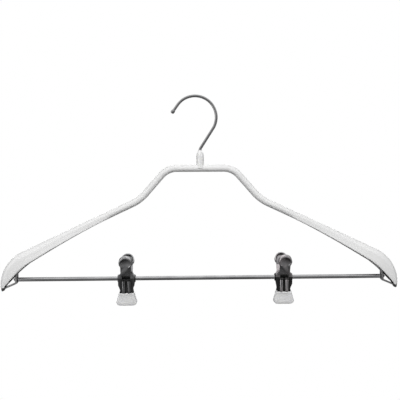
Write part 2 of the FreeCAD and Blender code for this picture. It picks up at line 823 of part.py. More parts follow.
def biarc(first, first_way, last, last_way):
    """Two tangent arcs from one point and heading to another."""
    chord = last - first
    both = first_way + last_way
    a = 4 - both.dot(both)
    b = chord.dot(both)
    reach = (math.sqrt(b * b + a * chord.dot(chord)) - b) / a
    corners = (first + first_way * reach, last - last_way * reach)
    middle = (corners[0] + corners[1]) * 0.5
    arcs = []
    for start, corner, stop in ((first, corners[0], middle), (middle, corners[1], last)):
        half_chord = (stop - start) * 0.5
        foot = start + half_chord
        out = corner - foot
        half_turn = math.atan2(out.Length, half_chord.Length)
        rise = half_chord.Length * math.tan(half_turn / 2)
        arcs.append(Part.Arc(start, foot + out.normalize() * rise, stop).toShape())
    return arcs


def make_spring(side):
    """Torsion spring round the pivot tube, one leg up each lever."""
    radius = value("spring_radius")
    length = value("spring_length")
    start = math.radians(180 + value("lever_angle"))
    stop = math.radians(360 * (SPRING_TURNS + 1) - value("lever_angle"))

    def point(angle):
        along = (angle - start) / (stop - start) - 0.5
        return Vector(length * along, radius * math.cos(angle), radius * math.sin(angle))

    def heading(angle):
        return Vector(length / (stop - start), -radius * math.sin(angle), radius * math.cos(angle)).normalize()

    quarters = math.ceil((stop - start) / (math.pi / 2))
    angles = [start + (stop - start) * number / quarters for number in range(quarters + 1)]
    leg = value("spring_leg")
    leg_foot = point(start) - heading(start) * leg
    leg_end = point(stop) + heading(stop) * leg
    edges = [Part.LineSegment(leg_foot, point(start)).toShape()]
    for first, last in zip(angles, angles[1:]):
        edges += biarc(point(first), heading(first), point(last), heading(last))
    edges.append(Part.LineSegment(point(stop), leg_end).toShape())
    wire = value("spring_wire")
    section = Part.Wire(Part.makeCircle(wire / 2, leg_foot, heading(start)))

    gap = min(
        (point(one) - point(other)).Length
        for one in angles for other in angles if abs(one - other) > math.pi) - wire
    print("%s spring: least gap between turns %.2f mm" % (side, gap))

    spring = doc.addObject("Part::Feature", side + "_spring")
    spring.Label = side + "_spring"
    spring.Shape = Part.Wire(edges).makePipeShell([section], True, False)
    place_on_bar(spring, side)
    return spring


def check(pieces):
    """Stop before anything is written if an object failed or a piece is not one sound solid."""
    for thing in doc.Objects:
        if "Invalid" in thing.State or "Error" in thing.State:
            raise RuntimeError("%s failed: %s" % (thing.Name, thing.State))
    for piece in pieces:
        if piece.Shape.isNull() or not piece.Shape.isValid() or len(piece.Shape.Solids) != 1:
            raise RuntimeError("%s is not one sound solid" % piece.Label)


doc = FreeCAD.newDocument("skirt_hanger")
sheet = make_sheet()

pieces = [
    make_hook(),
    make_hook_washer(),
    make_neck_socket(),
    make_neck_sleeve(),
    make_frame_tube(),
    make_frame_coating(),
    make_bar(),
]
for make, name in (
        (make_shoulder, "left_shoulder"),
        (make_shoulder_coating, "left_shoulder_coating"),
        (make_bar_bracket, "left_bar_bracket")):
    right = make()
    pieces += [right, mirror_piece(right, name)]
for side in ("left", "right"):
    pieces += [make_pivot_tube(side), make_spring(side)]
    for face in ("front", "back"):
        pieces += [make_jaw(side, face), make_boot(side, face)]

doc.recompute()
check(pieces)
os.makedirs("parts", exist_ok=True)
for piece in pieces:
    piece.Shape.exportStep("parts/%s.step" % piece.Label)
    print("%-24s %9.1f mm3" % (piece.Label, piece.Shape.Volume))
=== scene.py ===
"""Visual model of a skirt hanger, built around the packed CAD frame.

A white coated frame with broad hollow shoulders, a swivel hook, a thin bar
and two sprung clips with soft boots. All lengths are in metres.
"""

from math import asin, atan2, copysign, cos, hypot, pi, radians, sin, sqrt, tan

import bmesh
import bpy
from bpy.props import FloatProperty, FloatVectorProperty, PointerProperty
from bpy.types import NodeSocket, Operator, Panel, PropertyGroup
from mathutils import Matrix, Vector


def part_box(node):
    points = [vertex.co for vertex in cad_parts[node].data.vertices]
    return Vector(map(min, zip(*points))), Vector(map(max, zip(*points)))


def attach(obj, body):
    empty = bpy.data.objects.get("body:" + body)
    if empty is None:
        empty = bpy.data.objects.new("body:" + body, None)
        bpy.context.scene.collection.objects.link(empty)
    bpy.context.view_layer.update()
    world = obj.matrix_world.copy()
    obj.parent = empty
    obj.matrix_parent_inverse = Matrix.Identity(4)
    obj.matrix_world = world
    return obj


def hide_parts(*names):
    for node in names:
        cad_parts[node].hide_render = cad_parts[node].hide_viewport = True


bl_info = {
    "name": "Skirt hanger",
    "version": (1, 0, 0),
    "blender": (4, 5, 0),
    "location": "View3D > Sidebar > Hanger",
    "description": "Coating, metal, clips and studio of a skirt hanger",
    "category": "Object",
}

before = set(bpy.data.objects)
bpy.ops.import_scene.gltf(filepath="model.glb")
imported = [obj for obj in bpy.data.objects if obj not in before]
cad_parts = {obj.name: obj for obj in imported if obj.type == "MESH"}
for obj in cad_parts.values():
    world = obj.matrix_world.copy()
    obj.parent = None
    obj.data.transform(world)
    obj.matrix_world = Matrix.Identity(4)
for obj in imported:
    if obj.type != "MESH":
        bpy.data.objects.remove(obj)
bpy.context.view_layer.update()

MM = 0.001
SIDES = ("left", "right")
FACES = ("front", "back")


def middle(node):
    low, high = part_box(node)
    return (low + high) / 2


def reach(node, axis):
    low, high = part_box(node)
    return high[axis] - low[axis]


BAR_Z = middle("bar").z
CLIP_X = {side: middle(side + "_pivot_tube").x for side in SIDES}
TUBE_RADIUS = reach("frame_coating", 1) / 2
TOP_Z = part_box("frame_coating")[1].z - TUBE_RADIUS
HALF_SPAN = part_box("right_shoulder_coating")[1].x


# Settings

def length(name, words, millimetres):
    return FloatProperty(
        name=name, description=words, default=millimetres * MM, unit="LENGTH", precision=5)


def angle(name, words, degrees):
    return FloatProperty(
        name=name, description=words, default=radians(degrees), subtype="ANGLE")


def share(name, words, default):
    return FloatProperty(
        name=name, description=words, default=default, subtype="FACTOR", min=0, max=1)


def colour(name, words, *default):
    return FloatVectorProperty(
        name=name, description=words, default=default, subtype="COLOR", size=3, min=0, max=1)


class HangerFrameSizes(PropertyGroup):
    """Line and sections of the coated frame."""
    top_half: length("Top bar", "Half length of the straight top bar", 34.7)
    slope_run: length("Slope run", "Run of the steep part beside the top bar", 29.0)
    slope_drop: length("Slope drop", "Drop of the steep part beside the top bar", 33.2)
    arm_angle: angle("Arm angle", "Fall of the arms below level", 25)
    top_bend: length("Top bend", "Radius of the bend at the top bar's end", 22.0)
    arm_bend: length("Arm bend", "Radius of the bend into the arm", 45.0)
    tube_radius: length("Coated radius", "Outer radius of the coated tube", TUBE_RADIUS / MM)
    shoulder_start: length("Shoulder start", "Where the tube turns into the shoulder", 44.5)
    half_depth: length("Half depth", "Half depth of the broad shoulder", 8.0)
    height: length("Height", "Height of the broad shoulder's section", 14.3)
    hood_radius: length("Hood radius", "Radius of the rounded end", 39.0)
    hood_end: angle("Hood end", "How far round from the top the hood ends", 98.8)
    hood_rise: length("Hood rise", "How far the hood's rim bows up off a straight line", 0.8)
    nub_start: angle("Nub start", "How far round from the top the narrow end starts", 90)
    nub_height: length("Nub height", "Height of the section where the narrow end starts", 5.6)
    tip_half_depth: length("Tip half depth", "Half depth at the tip", 3.6)
    tip_height: length("Tip height", "Height of the section at the tip", 3.4)
    wall: length("Wall", "Thickness of the sheet with its coating", 1.1)
    flare: length("Rim flare", "How far the lower rim stands out", 0.8)
    coat_end: share("Coat end", "Share of the hood that is coated", 0.925)


class HangerHookSizes(PropertyGroup):
    """Hook and neck."""
    wire_radius: length("Wire radius", "Radius of the hook's wire", 1.5)
    bow_radius: length("Bow radius", "Radius of the bow along the wire's middle", 22.5)
    offset: length("Bow offset", "How far the bow's centre lies to the left", 5.1)
    bend: length("Small bend", "Radius of the bend over the neck", 5.0)
    neck_drop: length("Neck drop", "From the seat down to the neck's top", 55.6)
    tip_length: length("Tip length", "Straight length of the tip", 11.0)
    tip_angle: angle("Tip angle", "Fall of the tip below level", 54.5)
    knob: length("Tip knob", "How far the rounded tip swells", 0.6)
    sleeve_radius: length("Sleeve radius", "Radius of the neck sleeve", 4.0)
    sleeve_top: length("Sleeve top", "Radius of the neck sleeve at its top", 2.0)
    sleeve_taper: length("Sleeve taper", "Height of the sleeve's taper", 6.4)


class HangerClipSizes(PropertyGroup):
    """Jaws, boots and springs of a clip."""
    jaw_stand: length("Jaw stand", "From the bar to the inner face of a jaw", 5.2)
    jaw_sheet: length("Jaw sheet", "Thickness of the jaw's sheet", 1.0)
    boot_top: length("Boot top", "From the bar down to the boot's lip", 15.0)
    boot_length: length("Boot length", "Length of a boot", 13.2)
    boot_top_half: length("Boot lip half width", "Half width at the lip", 8.06)
    boot_half: length("Boot half width", "Half width at the broadest place", 10.7)
    boot_corner: length("Boot corner", "Radius of the lower corners", 3.8)
    boot_wall: length("Boot wall", "Thickness of the boot over the sheet", 1.3)
    grip_gap: length("Grip gap", "Room between the shut boots", 0.3)
    coil_radius: length("Coil radius", "Radius of the spring's coil", 4.0)
    coil_length: length("Coil length", "Length of the spring's coil", 8.6)
    coil_wire: length("Spring wire", "Radius of the spring's wire", 0.5)
    leg: length("Spring leg", "Length of the spring's legs", 9.0)
    lever_angle: angle("Lever angle", "Lean of the levers at rest", 26)
    rib_pitch: length("Rib pitch", "From one pressed rib to the other", 5.8)
    rib_half: length("Rib half width", "Half width of a pressed rib", 1.6)
    rib_start: length("Rib start", "From the bar down to the ribs' upper ends", -1.0)
    edge: length("Edge", "Rounding of the sheet's edges", 0.16)


class HangerFinishes(PropertyGroup):
    """Colours of the finishes."""
    coat: colour("Coating", "White of the coating", 0.89, 0.89, 0.887)
    coat_shade: colour("Coating shade", "Patches in the coating", 0.86, 0.86, 0.86)
    boot: colour("Boots", "White of the boots", 0.86, 0.86, 0.86)
    boot_shade: colour("Boot shade", "Patches in the boots", 0.81, 0.81, 0.815)
    hook: colour("Hook", "Dark polished chrome of the hook", 0.42, 0.42, 0.425)
    hook_shade: colour("Hook shade", "Drawn lines in the hook", 0.30, 0.30, 0.305)
    chrome: colour("Chrome", "Bright chrome of the bar", 0.60, 0.60, 0.61)
    chrome_shade: colour("Chrome shade", "Drawn lines in the bar", 0.44, 0.44, 0.45)
    nickel: colour("Nickel", "Plating of the left clip", 0.50, 0.50, 0.505)
    nickel_warm: colour("Warm nickel", "Plating of the right clip", 0.58, 0.54, 0.55)
    nickel_shade: colour("Nickel shade", "Cloudy places of the plating", 0.34, 0.34, 0.35)
    steel: colour("Steel", "Bar brackets", 0.62, 0.62, 0.62)
    steel_shade: colour("Steel shade", "Dull places of the steel", 0.45, 0.45, 0.455)
    # Painted shade: the inner steel is near black to stand in for the shade inside the shoulders,
    # at their tips and inside the clips
    inner: colour("Inner steel", "Dull steel inside shoulders and clips", 0.13, 0.13, 0.13)
    inner_shade: colour("Inner shade", "Clouds in the dull steel", 0.08, 0.08, 0.08)


class HangerStage(PropertyGroup):
    """Camera."""
    distance: length("Distance", "From the camera to the hanger", 620)
    field: length("Field", "Width that the picture shows at the hanger", 423.8)
    aim_x: length("Aim across", "Place of the picture's middle across", -0.39)
    aim_z: length("Aim height", "Height of the picture's middle", -108.2)
    yaw: angle("Yaw", "How far the camera stands round to the left", 1.65)
    roll: angle("Roll", "Turn of the camera about its view", 0.36)


# Modelling

SMOOTH_ANGLE = 50
HALVES_MERGE = 0.01 * MM
SOLID_MERGE = 0.001 * MM
SOLID_FLAT = radians(1)
SOLID_CORNER = radians(50)
SOLID_SMOOTH = 35


def deselect():
    if bpy.context.mode != "OBJECT":
        bpy.ops.object.mode_set(mode="OBJECT")
    bpy.ops.object.select_all(action="DESELECT")


def pick(piece):
    deselect()
    piece.select_set(True)
    bpy.context.view_layer.objects.active = piece


def edit(piece, kind="EDGE", action="SELECT"):
    """Edit mode on one piece, with all of it or nothing selected; deselect() ends it."""
    pick(piece)
    bpy.ops.object.mode_set(mode="EDIT")
    bpy.ops.mesh.select_mode(type=kind)
    bpy.ops.mesh.select_all(action=action)
    return bmesh.from_edit_mesh(piece.data)


def smooth(piece, degrees):
    pick(piece)
    bpy.ops.object.shade_smooth_by_angle(angle=radians(degrees))


def sweep(name, rings, cap_start=True, smoothing=SMOOTH_ANGLE):
    """A ring drawn once and extruded from station to station."""
    deselect()
    bpy.ops.mesh.primitive_circle_add(vertices=len(rings[0]), radius=1, location=(0, 0, 0))
    piece = bpy.context.object
    piece.name = piece.data.name = name
    mesh = edit(piece)
    ring = list(mesh.verts)
    place(ring, rings[0])
    for points in rings[1:]:
        bpy.ops.mesh.extrude_edges_move()
        ring = [grown_from(vert) for vert in ring]
        place(ring, points)
    bpy.ops.mesh.edge_face_add()
    if cap_start:
        bpy.ops.mesh.select_all(action="DESELECT")
        mesh = bmesh.from_edit_mesh(piece.data)
        mesh.verts.ensure_lookup_table()
        first = set(mesh.verts[:len(rings[0])])
        for edge in mesh.edges:
            if first.issuperset(edge.verts):
                edge.select = True
        bpy.ops.mesh.edge_face_add()
    turn_outwards(piece)
    if smoothing:
        smooth(piece, smoothing)
    return piece


def place(verts, points):
    for vert, point in zip(verts, points):
        vert.co = point


def grown_from(vert):
    """The new point that an extrusion pulled out of this one."""
    for edge in vert.link_edges:
        other = edge.other_vert(vert)
        if other.select:
            return other
    raise RuntimeError("an extruded ring lost a point")


def turn_outwards(piece):
    edit(piece)
    bpy.ops.mesh.normals_make_consistent(inside=False)
    deselect()


def apply_modifiers(piece):
    pick(piece)
    for modifier in list(piece.modifiers):
        bpy.ops.object.modifier_apply(modifier=modifier.name)


def mirrored(piece):
    """The piece with its other half across the middle plane."""
    mirror = piece.modifiers.new("other half", "MIRROR")
    mirror.merge_threshold = HALVES_MERGE
    apply_modifiers(piece)
    turn_outwards(piece)


def own_copy(piece, name):
    twin = piece.copy()
    twin.data = piece.data.copy()
    twin.name = twin.data.name = name
    bpy.context.collection.objects.link(twin)
    return twin


def put(piece, where=(0, 0, 0), turn=(0, 0, 0), across=1):
    """Places a piece, or flips it across, and keeps that in its mesh."""
    pick(piece)
    piece.location = where
    piece.rotation_euler = turn
    piece.scale.x = across
    bpy.ops.object.transform_apply(location=True, rotation=True, scale=True)


def flipped_copy(piece, name):
    """A mirrored copy on the other side of the middle plane."""
    twin = own_copy(piece, name)
    put(twin, across=-1)
    turn_outwards(twin)
    return twin


def joined(pieces, name):
    pick(pieces[0])
    for piece in pieces:
        piece.select_set(True)
    bpy.ops.object.join()
    pieces[0].name = pieces[0].data.name = name
    return pieces[0]


def from_solid(node, name, edge):
    """A copy of a CAD solid with its sheet edges rounded."""
    piece = bpy.data.objects.new(name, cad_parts[node].data.copy())
    piece.data.name = name
    bpy.context.collection.objects.link(piece)
    pick(piece)
    bpy.ops.mesh.customdata_custom_splitnormals_clear()
    edit(piece)
    bpy.ops.mesh.remove_doubles(threshold=SOLID_MERGE)
    bpy.ops.mesh.dissolve_limited(angle_limit=SOLID_FLAT)
    deselect()
    rounding = piece.modifiers.new("edges", "BEVEL")
    rounding.width = edge
    rounding.segments = 2
    rounding.limit_method = "ANGLE"
    rounding.angle_limit = SOLID_CORNER
    apply_modifiers(piece)
    smooth(piece, SOLID_SMOOTH)
    return piece


def dress(piece, body, slot, *nodes, finish=None):
    """Gives a piece its finish, named by the slot unless one is given, and its body, and hides
    the CAD nodes that it replaces.
    """
    piece.data.materials.clear()
    piece.data.materials.append(finish_for(finish or slot.replace("_", " ")))
    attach(piece, body)
    if nodes:
        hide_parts(*nodes)


def dress_pair(right, name, slot, node, finish=None):
    """Dresses a right piece of the frame and its mirrored left twin."""
    left = flipped_copy(right, "left_" + name)
    dress(right, "frame_part", slot, "right_" + node, finish=finish)
    dress(left, "frame_part", slot, "left_" + node, finish=finish)


class Walk:
    """A line in the hanger's own plane, walked in runs and turns."""

    def __init__(self, x, z, heading):
        self.x, self.z, self.heading = x, z, heading
        self.stations = [(x, z, heading)]

    def run(self, distance, steps):
        for _ in range(steps):
            self.x += cos(self.heading) * distance / steps
            self.z += sin(self.heading) * distance / steps
            self.stations.append((self.x, self.z, self.heading))

    def turn(self, radius, swing, steps):
        """Positive swings turn to the left of the walk."""
        side = copysign(1, swing)
        for _ in range(steps):
            before = self.heading
            self.heading += swing / steps
            self.x += side * radius * (sin(self.heading) - sin(before))
            self.z -= side * radius * (cos(self.heading) - cos(before))
            self.stations.append((self.x, self.z, self.heading))


def set_in(station, section):
    """Points of a section (depth, rise) across the walk at a station."""
    x, z, heading = station
    return [
        Vector((x - sin(heading) * rise, depth, z + cos(heading) * rise))
        for depth, rise in section
    ]


def blend(low, high, part):
    return low + (high - low) * part


def ease(value, start, stop):
    part = min(max((value - start) / (stop - start), 0), 1)
    return part * part * (3 - 2 * part)


def spread(low, high, count):
    """Evenly spaced values from low to high, both among them."""
    return [blend(low, high, k / (count - 1)) for k in range(count)]


def polar(radius, degrees):
    turn = radians(degrees)
    return radius * cos(turn), radius * sin(turn)


def round_section(radius, count):
    return [polar(radius, 360 * k / count) for k in range(count)]


def quarter(x, rise, radius, start, count):
    """Points of a rounded corner about its centre, from a starting angle."""
    turns = spread(start, start + 90, count)
    return [(x + out, rise + up) for out, up in (polar(radius, turn) for turn in turns)]


# Finishes

ALONG_BAR = (0.03, 1, 1)
ROUND_WIRE = (1, 0.3, 1)
# Colour of the clips' lightened edges: partly worn plating, partly painted highlight
BRIGHT_EDGE = (0.78, 0.78, 0.78)
# Near black that the finishes mix in: painted shade in recesses and beside the clips' ribs, and
# the clips' darker lower jaws
NEAR_BLACK = (0.03, 0.03, 0.03)
MOTTLE_RANGE = (0.32, 0.68)
EDGE_RANGE = (0.97, 0.8)
RECESS_SHADE_RANGE = (0.95, 0.78)
EDGE_WEAR_AND_HIGHLIGHT_REACH = 0.35 * MM
RIB_FADE = 0.4 * MM
# How far each clip's plating darkens below the ribs' upper ends, and the painted shade beside and
# between the ribs
RIB_DARKENING = {"left": {"Below": 0.55, "Mask": 0.5}, "right": {"Below": 0.05, "Mask": 0.9}}


def feed(tree, socket, value):
    """Links the socket to an output, or sets it to a value."""
    if isinstance(value, NodeSocket):
        tree.links.new(value, socket)
    else:
        socket.default_value = value


def add_node(tree, kind, sockets=None, **settings):
    """A shader node with its settings made and its sockets fed."""
    made = tree.nodes.new("ShaderNode" + kind)
    for name, value in settings.items():
        setattr(made, name, value)
    for socket, value in (sockets or {}).items():
        feed(tree, made.inputs[socket], value)
    return made


def levels(tree, value, low, high, new_low=0, new_high=1):
    """The value, moved from one range to another."""
    return add_node(tree, "MapRange", {
        "Value": value, "From Min": low, "From Max": high, "To Min": new_low, "To Max": new_high,
    }).outputs["Result"]


VECTOR_SOCKETS = ("Vector", "Stretch")


def new_group(name, inputs, outputs):
    """An empty node group with named sockets, and the sockets of its two inner ends."""
    tree = bpy.data.node_groups.new(name, "ShaderNodeTree")
    for way, sockets in (("INPUT", inputs), ("OUTPUT", outputs)):
        for socket in sockets:
            kind = "Vector" if socket in VECTOR_SOCKETS else "Float"
            tree.interface.new_socket(name=socket, in_out=way, socket_type="NodeSocket" + kind)
    start = tree.nodes.new("NodeGroupInput").outputs
    stop = tree.nodes.new("NodeGroupOutput").inputs
    return tree, start, stop


def mottle_group(name):
    """Patches, grain or drawn lines, by scale and stretch: a mask from 0 to 1."""
    tree, start, stop = new_group(name, ("Vector", "Stretch", "Scale", "Detail"), ("Mask",))
    stretched = add_node(
        tree, "VectorMath", {0: start["Vector"], 1: start["Stretch"]}, operation="MULTIPLY")
    noise = add_node(tree, "TexNoise", {
        "Vector": stretched.outputs[0], "Scale": start["Scale"], "Detail": start["Detail"]})
    feed(tree, stop["Mask"], levels(tree, noise.outputs["Fac"], *MOTTLE_RANGE))
    return tree


def edge_wear_and_highlight_group(name):
    """Worn edges and painted highlight: 1 where the surface turns sharply, 0 on plain faces."""
    tree, start, stop = new_group(name, ("Radius",), ("Mask",))
    rounded = add_node(tree, "Bevel", {"Radius": start["Radius"]}, samples=4).outputs["Normal"]
    plain = add_node(tree, "NewGeometry").outputs["Normal"]
    turn = add_node(tree, "VectorMath", {0: rounded, 1: plain}, operation="DOT_PRODUCT")
    feed(tree, stop["Mask"], levels(tree, turn.outputs["Value"], *EDGE_RANGE))
    return tree


def recess_shade_group(name):
    """Painted shade in grooves and corners, from ambient occlusion: 1 deep inside, 0 on open
    faces.
    """
    tree, start, stop = new_group(name, ("Reach",), ("Mask",))
    open_air = add_node(tree, "AmbientOcclusion", {"Distance": start["Reach"]}, samples=8)
    feed(tree, stop["Mask"], levels(tree, open_air.outputs["AO"], *RECESS_SHADE_RANGE))
    return tree


def ribs_group(name):
    """Two pressed ribs below a height: Below is 1 under it, Mask 1 beside and between them, where
    painted shade goes.
    """
    tree, start, stop = new_group(
        name, ("Vector", "Middle", "Top", "Half pitch", "Half width"), ("Below", "Mask"))
    at = add_node(tree, "SeparateXYZ", {0: start["Vector"]}).outputs

    def worked(operation, *terms):
        return add_node(tree, "Math", dict(enumerate(terms)), operation=operation).outputs[0]

    across = worked("ABSOLUTE", worked("SUBTRACT", at["X"], start["Middle"]))
    beside = worked("ABSOLUTE", worked("SUBTRACT", across, start["Half pitch"]))
    past = worked("DIVIDE", worked("SUBTRACT", beside, start["Half width"]), RIB_FADE)
    under = worked("DIVIDE", worked("SUBTRACT", start["Top"], at["Z"]), RIB_FADE)
    for socket, value in (("Below", under), ("Mask", worked("MINIMUM", past, under))):
        feed(tree, stop[socket], add_node(tree, "Clamp", {"Value": value}).outputs[0])
    return tree


GROUPS = {
    "Mottle": mottle_group, "Edge wear and highlight": edge_wear_and_highlight_group, "Recess shade": recess_shade_group,
    "Rib lines": ribs_group,
}


class Finish:
    """A material under construction, with the steps that the finishes share."""

    def __init__(self, name):
        self.material = bpy.data.materials.new(name)
        self.material.use_nodes = True
        self.tree = self.material.node_tree
        self.place = add_node(self.tree, "TexCoord").outputs["Object"]

    def group(self, name, values):
        """The outputs of a shared group, which is built when it is first used."""
        tree = bpy.data.node_groups.get(name) or GROUPS[name](name)
        return add_node(self.tree, "Group", values, node_tree=tree).outputs

    def mottle(self, scale, detail=3, stretch=(1, 1, 1)):
        return self.group("Mottle", {
            "Vector": self.place, "Stretch": stretch, "Scale": scale, "Detail": detail})["Mask"]

    def tone(self, mask, low, high):
        """From a colour, or one already mixed, to another colour by the mask."""
        start = low if isinstance(low, NodeSocket) else (*low, 1)
        sockets = {"Factor": mask, "A": start, "B": (*high, 1)}
        return add_node(self.tree, "Mix", sockets, data_type="RGBA").outputs["Result"]

    def level(self, mask, low, high):
        return levels(self.tree, mask, 0, 1, low, high)

    def relief(self, mask, depth, strength):
        sockets = {"Height": mask, "Distance": depth, "Strength": strength}
        return add_node(self.tree, "Bump", sockets).outputs["Normal"]

    def made(self, sockets):
        """The material, with its shader's sockets fed."""
        for socket, value in sockets.items():
            feed(self.tree, self.tree.nodes["Principled BSDF"].inputs[socket], value)
        return self.material


def coated(name, light, shade):
    """Dipped white coating: soft gloss, faint orange peel, thin patches."""
    finish = Finish(name)
    return finish.made({
        "Base Color": finish.tone(finish.mottle(38, 4), light, shade),
        "Roughness": finish.level(finish.mottle(160, 4), 0.36, 0.50),
        "Normal": finish.relief(finish.mottle(900, 2), 0.03 * MM, 0.06),
        "IOR": 1.48,
    })


def moulded(name, light, shade):
    """Soft moulded plastic: matt grain, a little light passes into it."""
    finish = Finish(name)
    return finish.made({
        "Base Color": finish.tone(finish.mottle(90), light, shade),
        "Roughness": finish.level(finish.mottle(400), 0.42, 0.58),
        "Normal": finish.relief(finish.mottle(2600, 2), 0.02 * MM, 0.1),
        "Subsurface Weight": 0.12,
        "Subsurface Radius": (1.2, 1.2, 1.1),
        "Subsurface Scale": 1.0 * MM,
        "IOR": 1.5,
    })


def drawn(name, light, shade, stretch, smooth_level, rough_level):
    """Drawn bright wire: fine lines along it, faint cloudy places."""
    finish = Finish(name)
    lines = finish.mottle(900, 3, stretch)
    cloudy = finish.tone(finish.mottle(70), light, shade)
    return finish.made({
        "Base Color": finish.tone(finish.level(lines, 0, 0.45), cloudy, shade),
        "Roughness": finish.level(lines, smooth_level, rough_level),
        "Normal": finish.relief(lines, 0.01 * MM, 0.15),
        "Metallic": 1,
    })


def plated(name, light, shade, bright, smooth_level, rough_level, shade_reach,
           ribs=None, darkening=None):
    """Plated sheet: cloudy plating, small pits, worn edges with painted highlight, painted shade
    in recesses and beside the ribs.
    """
    finish = Finish(name)
    pits = finish.mottle(1500)
    worn_and_lit = finish.group("Edge wear and highlight", {"Radius": EDGE_WEAR_AND_HIGHLIGHT_REACH})["Mask"]
    inside = finish.group("Recess shade", {"Reach": shade_reach})["Mask"]
    tone = finish.tone(finish.mottle(150, 4), light, shade)
    # Edges lightened: partly worn plating, partly painted highlight
    tone = finish.tone(finish.level(worn_and_lit, 0, 0.7), tone, bright or light)
    # Painted shade: recesses darkened towards near black by ambient occlusion
    tone = finish.tone(finish.level(inside, 0, 0.95), tone, NEAR_BLACK)
    if ribs:
        lines = finish.group("Rib lines", {"Vector": finish.place, **ribs})
        # Painted shade beside and between the ribs, and darker plating below them
        for mask, amount in darkening.items():
            tone = finish.tone(finish.level(lines[mask], 0, amount), tone, NEAR_BLACK)
    return finish.made({
        "Base Color": tone,
        "Roughness": finish.level(pits, smooth_level, rough_level),
        "Normal": finish.relief(pits, 0.015 * MM, 0.2),
        "Metallic": 1,
    })


def ribbed(name, light, shade, side):
    """The clips' plating, darker below the ribs' upper ends, with painted shade beside and
    between the ribs.
    """
    clip = bpy.context.scene.hanger_clip
    ribs = {
        "Middle": CLIP_X[side], "Top": BAR_Z - clip.rib_start,
        "Half pitch": clip.rib_pitch / 2, "Half width": clip.rib_half,
    }
    return plated(name, light, shade, BRIGHT_EDGE, 0.20, 0.36, 2.6 * MM, ribs, RIB_DARKENING[side])


# Each finish: how it is made, its two tones, and what that way of making still asks for
FINISHES = {
    "coating white": (coated, "coat", "coat_shade"),
    "neck white": (moulded, "coat", "coat_shade"),
    "boot white": (moulded, "boot", "boot_shade"),
    "hook chrome": (drawn, "hook", "hook_shade", ROUND_WIRE, 0.16, 0.30),
    "bar chrome": (drawn, "chrome", "chrome_shade", ALONG_BAR, 0.14, 0.30),
    "left clip nickel": (ribbed, "nickel", "nickel_shade", "left"),
    "right clip nickel": (ribbed, "nickel_warm", "nickel_shade", "right"),
    "bracket steel": (plated, "steel", "steel_shade", None, 0.40, 0.52, 2 * MM),
    # Painted shade: dark tones and a wide ambient occlusion reach make the pressings, pivots and
    # springs look shaded
    "pressing steel": (plated, "inner", "inner_shade", None, 0.38, 0.55, 8 * MM),
    "pivot nickel": (plated, "inner", "inner_shade", None, 0.38, 0.55, 9 * MM),
    "spring steel": (plated, "inner", "inner_shade", None, 0.38, 0.55, 9 * MM),
    "inner steel": (plated, "inner", "inner_shade", None, 0.38, 0.55, 2 * MM),
}


def finish_for(name):
    """The finish of that name, made when it is first asked for."""
    known = bpy.data.materials.get(name)
    if known:
        return known
    make, light, shade, *values = FINISHES[name]
    tones = bpy.context.scene.hanger_finishes
    return make(name, getattr(tones, light), getattr(tones, shade), *values)


# Coated frame

GROWTH_POWER = 1.55
OUTER_FLANK, OUTER_ARCH = 5, 23
INNER_FLANK, INNER_ARCH = 3, 15
RIM_ANGLES = (-45, -90, -135)
ROUND_START, ROUND_STOP = -40, 220
ROUND_RIM = 10
TOP_STEPS, TOP_BEND_STEPS, SLOPE_STEPS, ARM_BEND_STEPS = 8, 16, 8, 12
ARM_STEPS, HOOD_STEPS = 56, 40

# Where the section changes, from the shoulder's start or as shares of the hood
SQUARES_UP = (-12 * MM, 2 * MM)
OPENS_BELOW = (3 * MM, 22 * MM)
FLARE_GROWS = (10 * MM, 50 * MM)
FLARE_ENDS = (0.55, 0.9)


def closed_section(radius):
    """The round tube, with its points shared out as on the open section."""
    low, high = ROUND_STOP + ROUND_RIM, 360 + ROUND_START - ROUND_RIM
    rim = len(RIM_ANGLES) + 2
    turns = spread(ROUND_START, ROUND_STOP, 2 * OUTER_FLANK + OUTER_ARCH)
    turns += spread(ROUND_STOP, low, rim)[1:-1]
    turns += spread(low, high, 2 * INNER_FLANK + INNER_ARCH)
    turns += spread(high, high + ROUND_RIM, rim)[1:-1]
    return [polar(radius, turn) for turn in turns]


def arch(half, crest, centre, foot, flare, flank_points, arch_points):
    """An upturned U from the right foot over the crest to the left foot."""
    flank = [k / flank_points for k in range(flank_points)]
    right = [(half + flare * (1 - part), blend(foot, centre, part)) for part in flank]
    bow = [
        (half * cos(turn), blend(centre, crest, sin(turn)))
        for turn in spread(0, pi, arch_points)
    ]
    return right + bow + [(-depth, rise) for depth, rise in reversed(right)]


def open_section(crest, half, height, wall, flare):
    """The hollow shoulder: outer arch, left rim, inner arch, right rim."""
    foot = crest - height + wall / 2
    centre = max(crest - half, foot)
    outer = arch(half, crest, centre, foot, flare, OUTER_FLANK, OUTER_ARCH)
    inner = arch(half - wall, crest - wall, centre, foot, flare, INNER_FLANK, INNER_ARCH)
    rim_turns = [polar(wall / 2, turn) for turn in RIM_ANGLES]
    right_rim = [(half + flare - wall / 2 + out, foot + up) for out, up in rim_turns]
    left_rim = [(-depth, rise) for depth, rise in right_rim]
    return outer, left_rim, inner[::-1], right_rim[::-1]


def shoulder_form(sizes, along, turned):
    """Half depth and height of the shoulder along the arm, or round the hood."""
    if turned:
        return hood_form(sizes, turned)
    whole = arm_places(sizes)[2] - sizes.shoulder_start
    part = min(max((along - sizes.shoulder_start) / whole, 0), 1)
    half = blend(sizes.tube_radius, sizes.half_depth, (1 - cos(pi * part)) / 2)
    return half, blend(2 * sizes.tube_radius, sizes.height, part ** GROWTH_POWER)


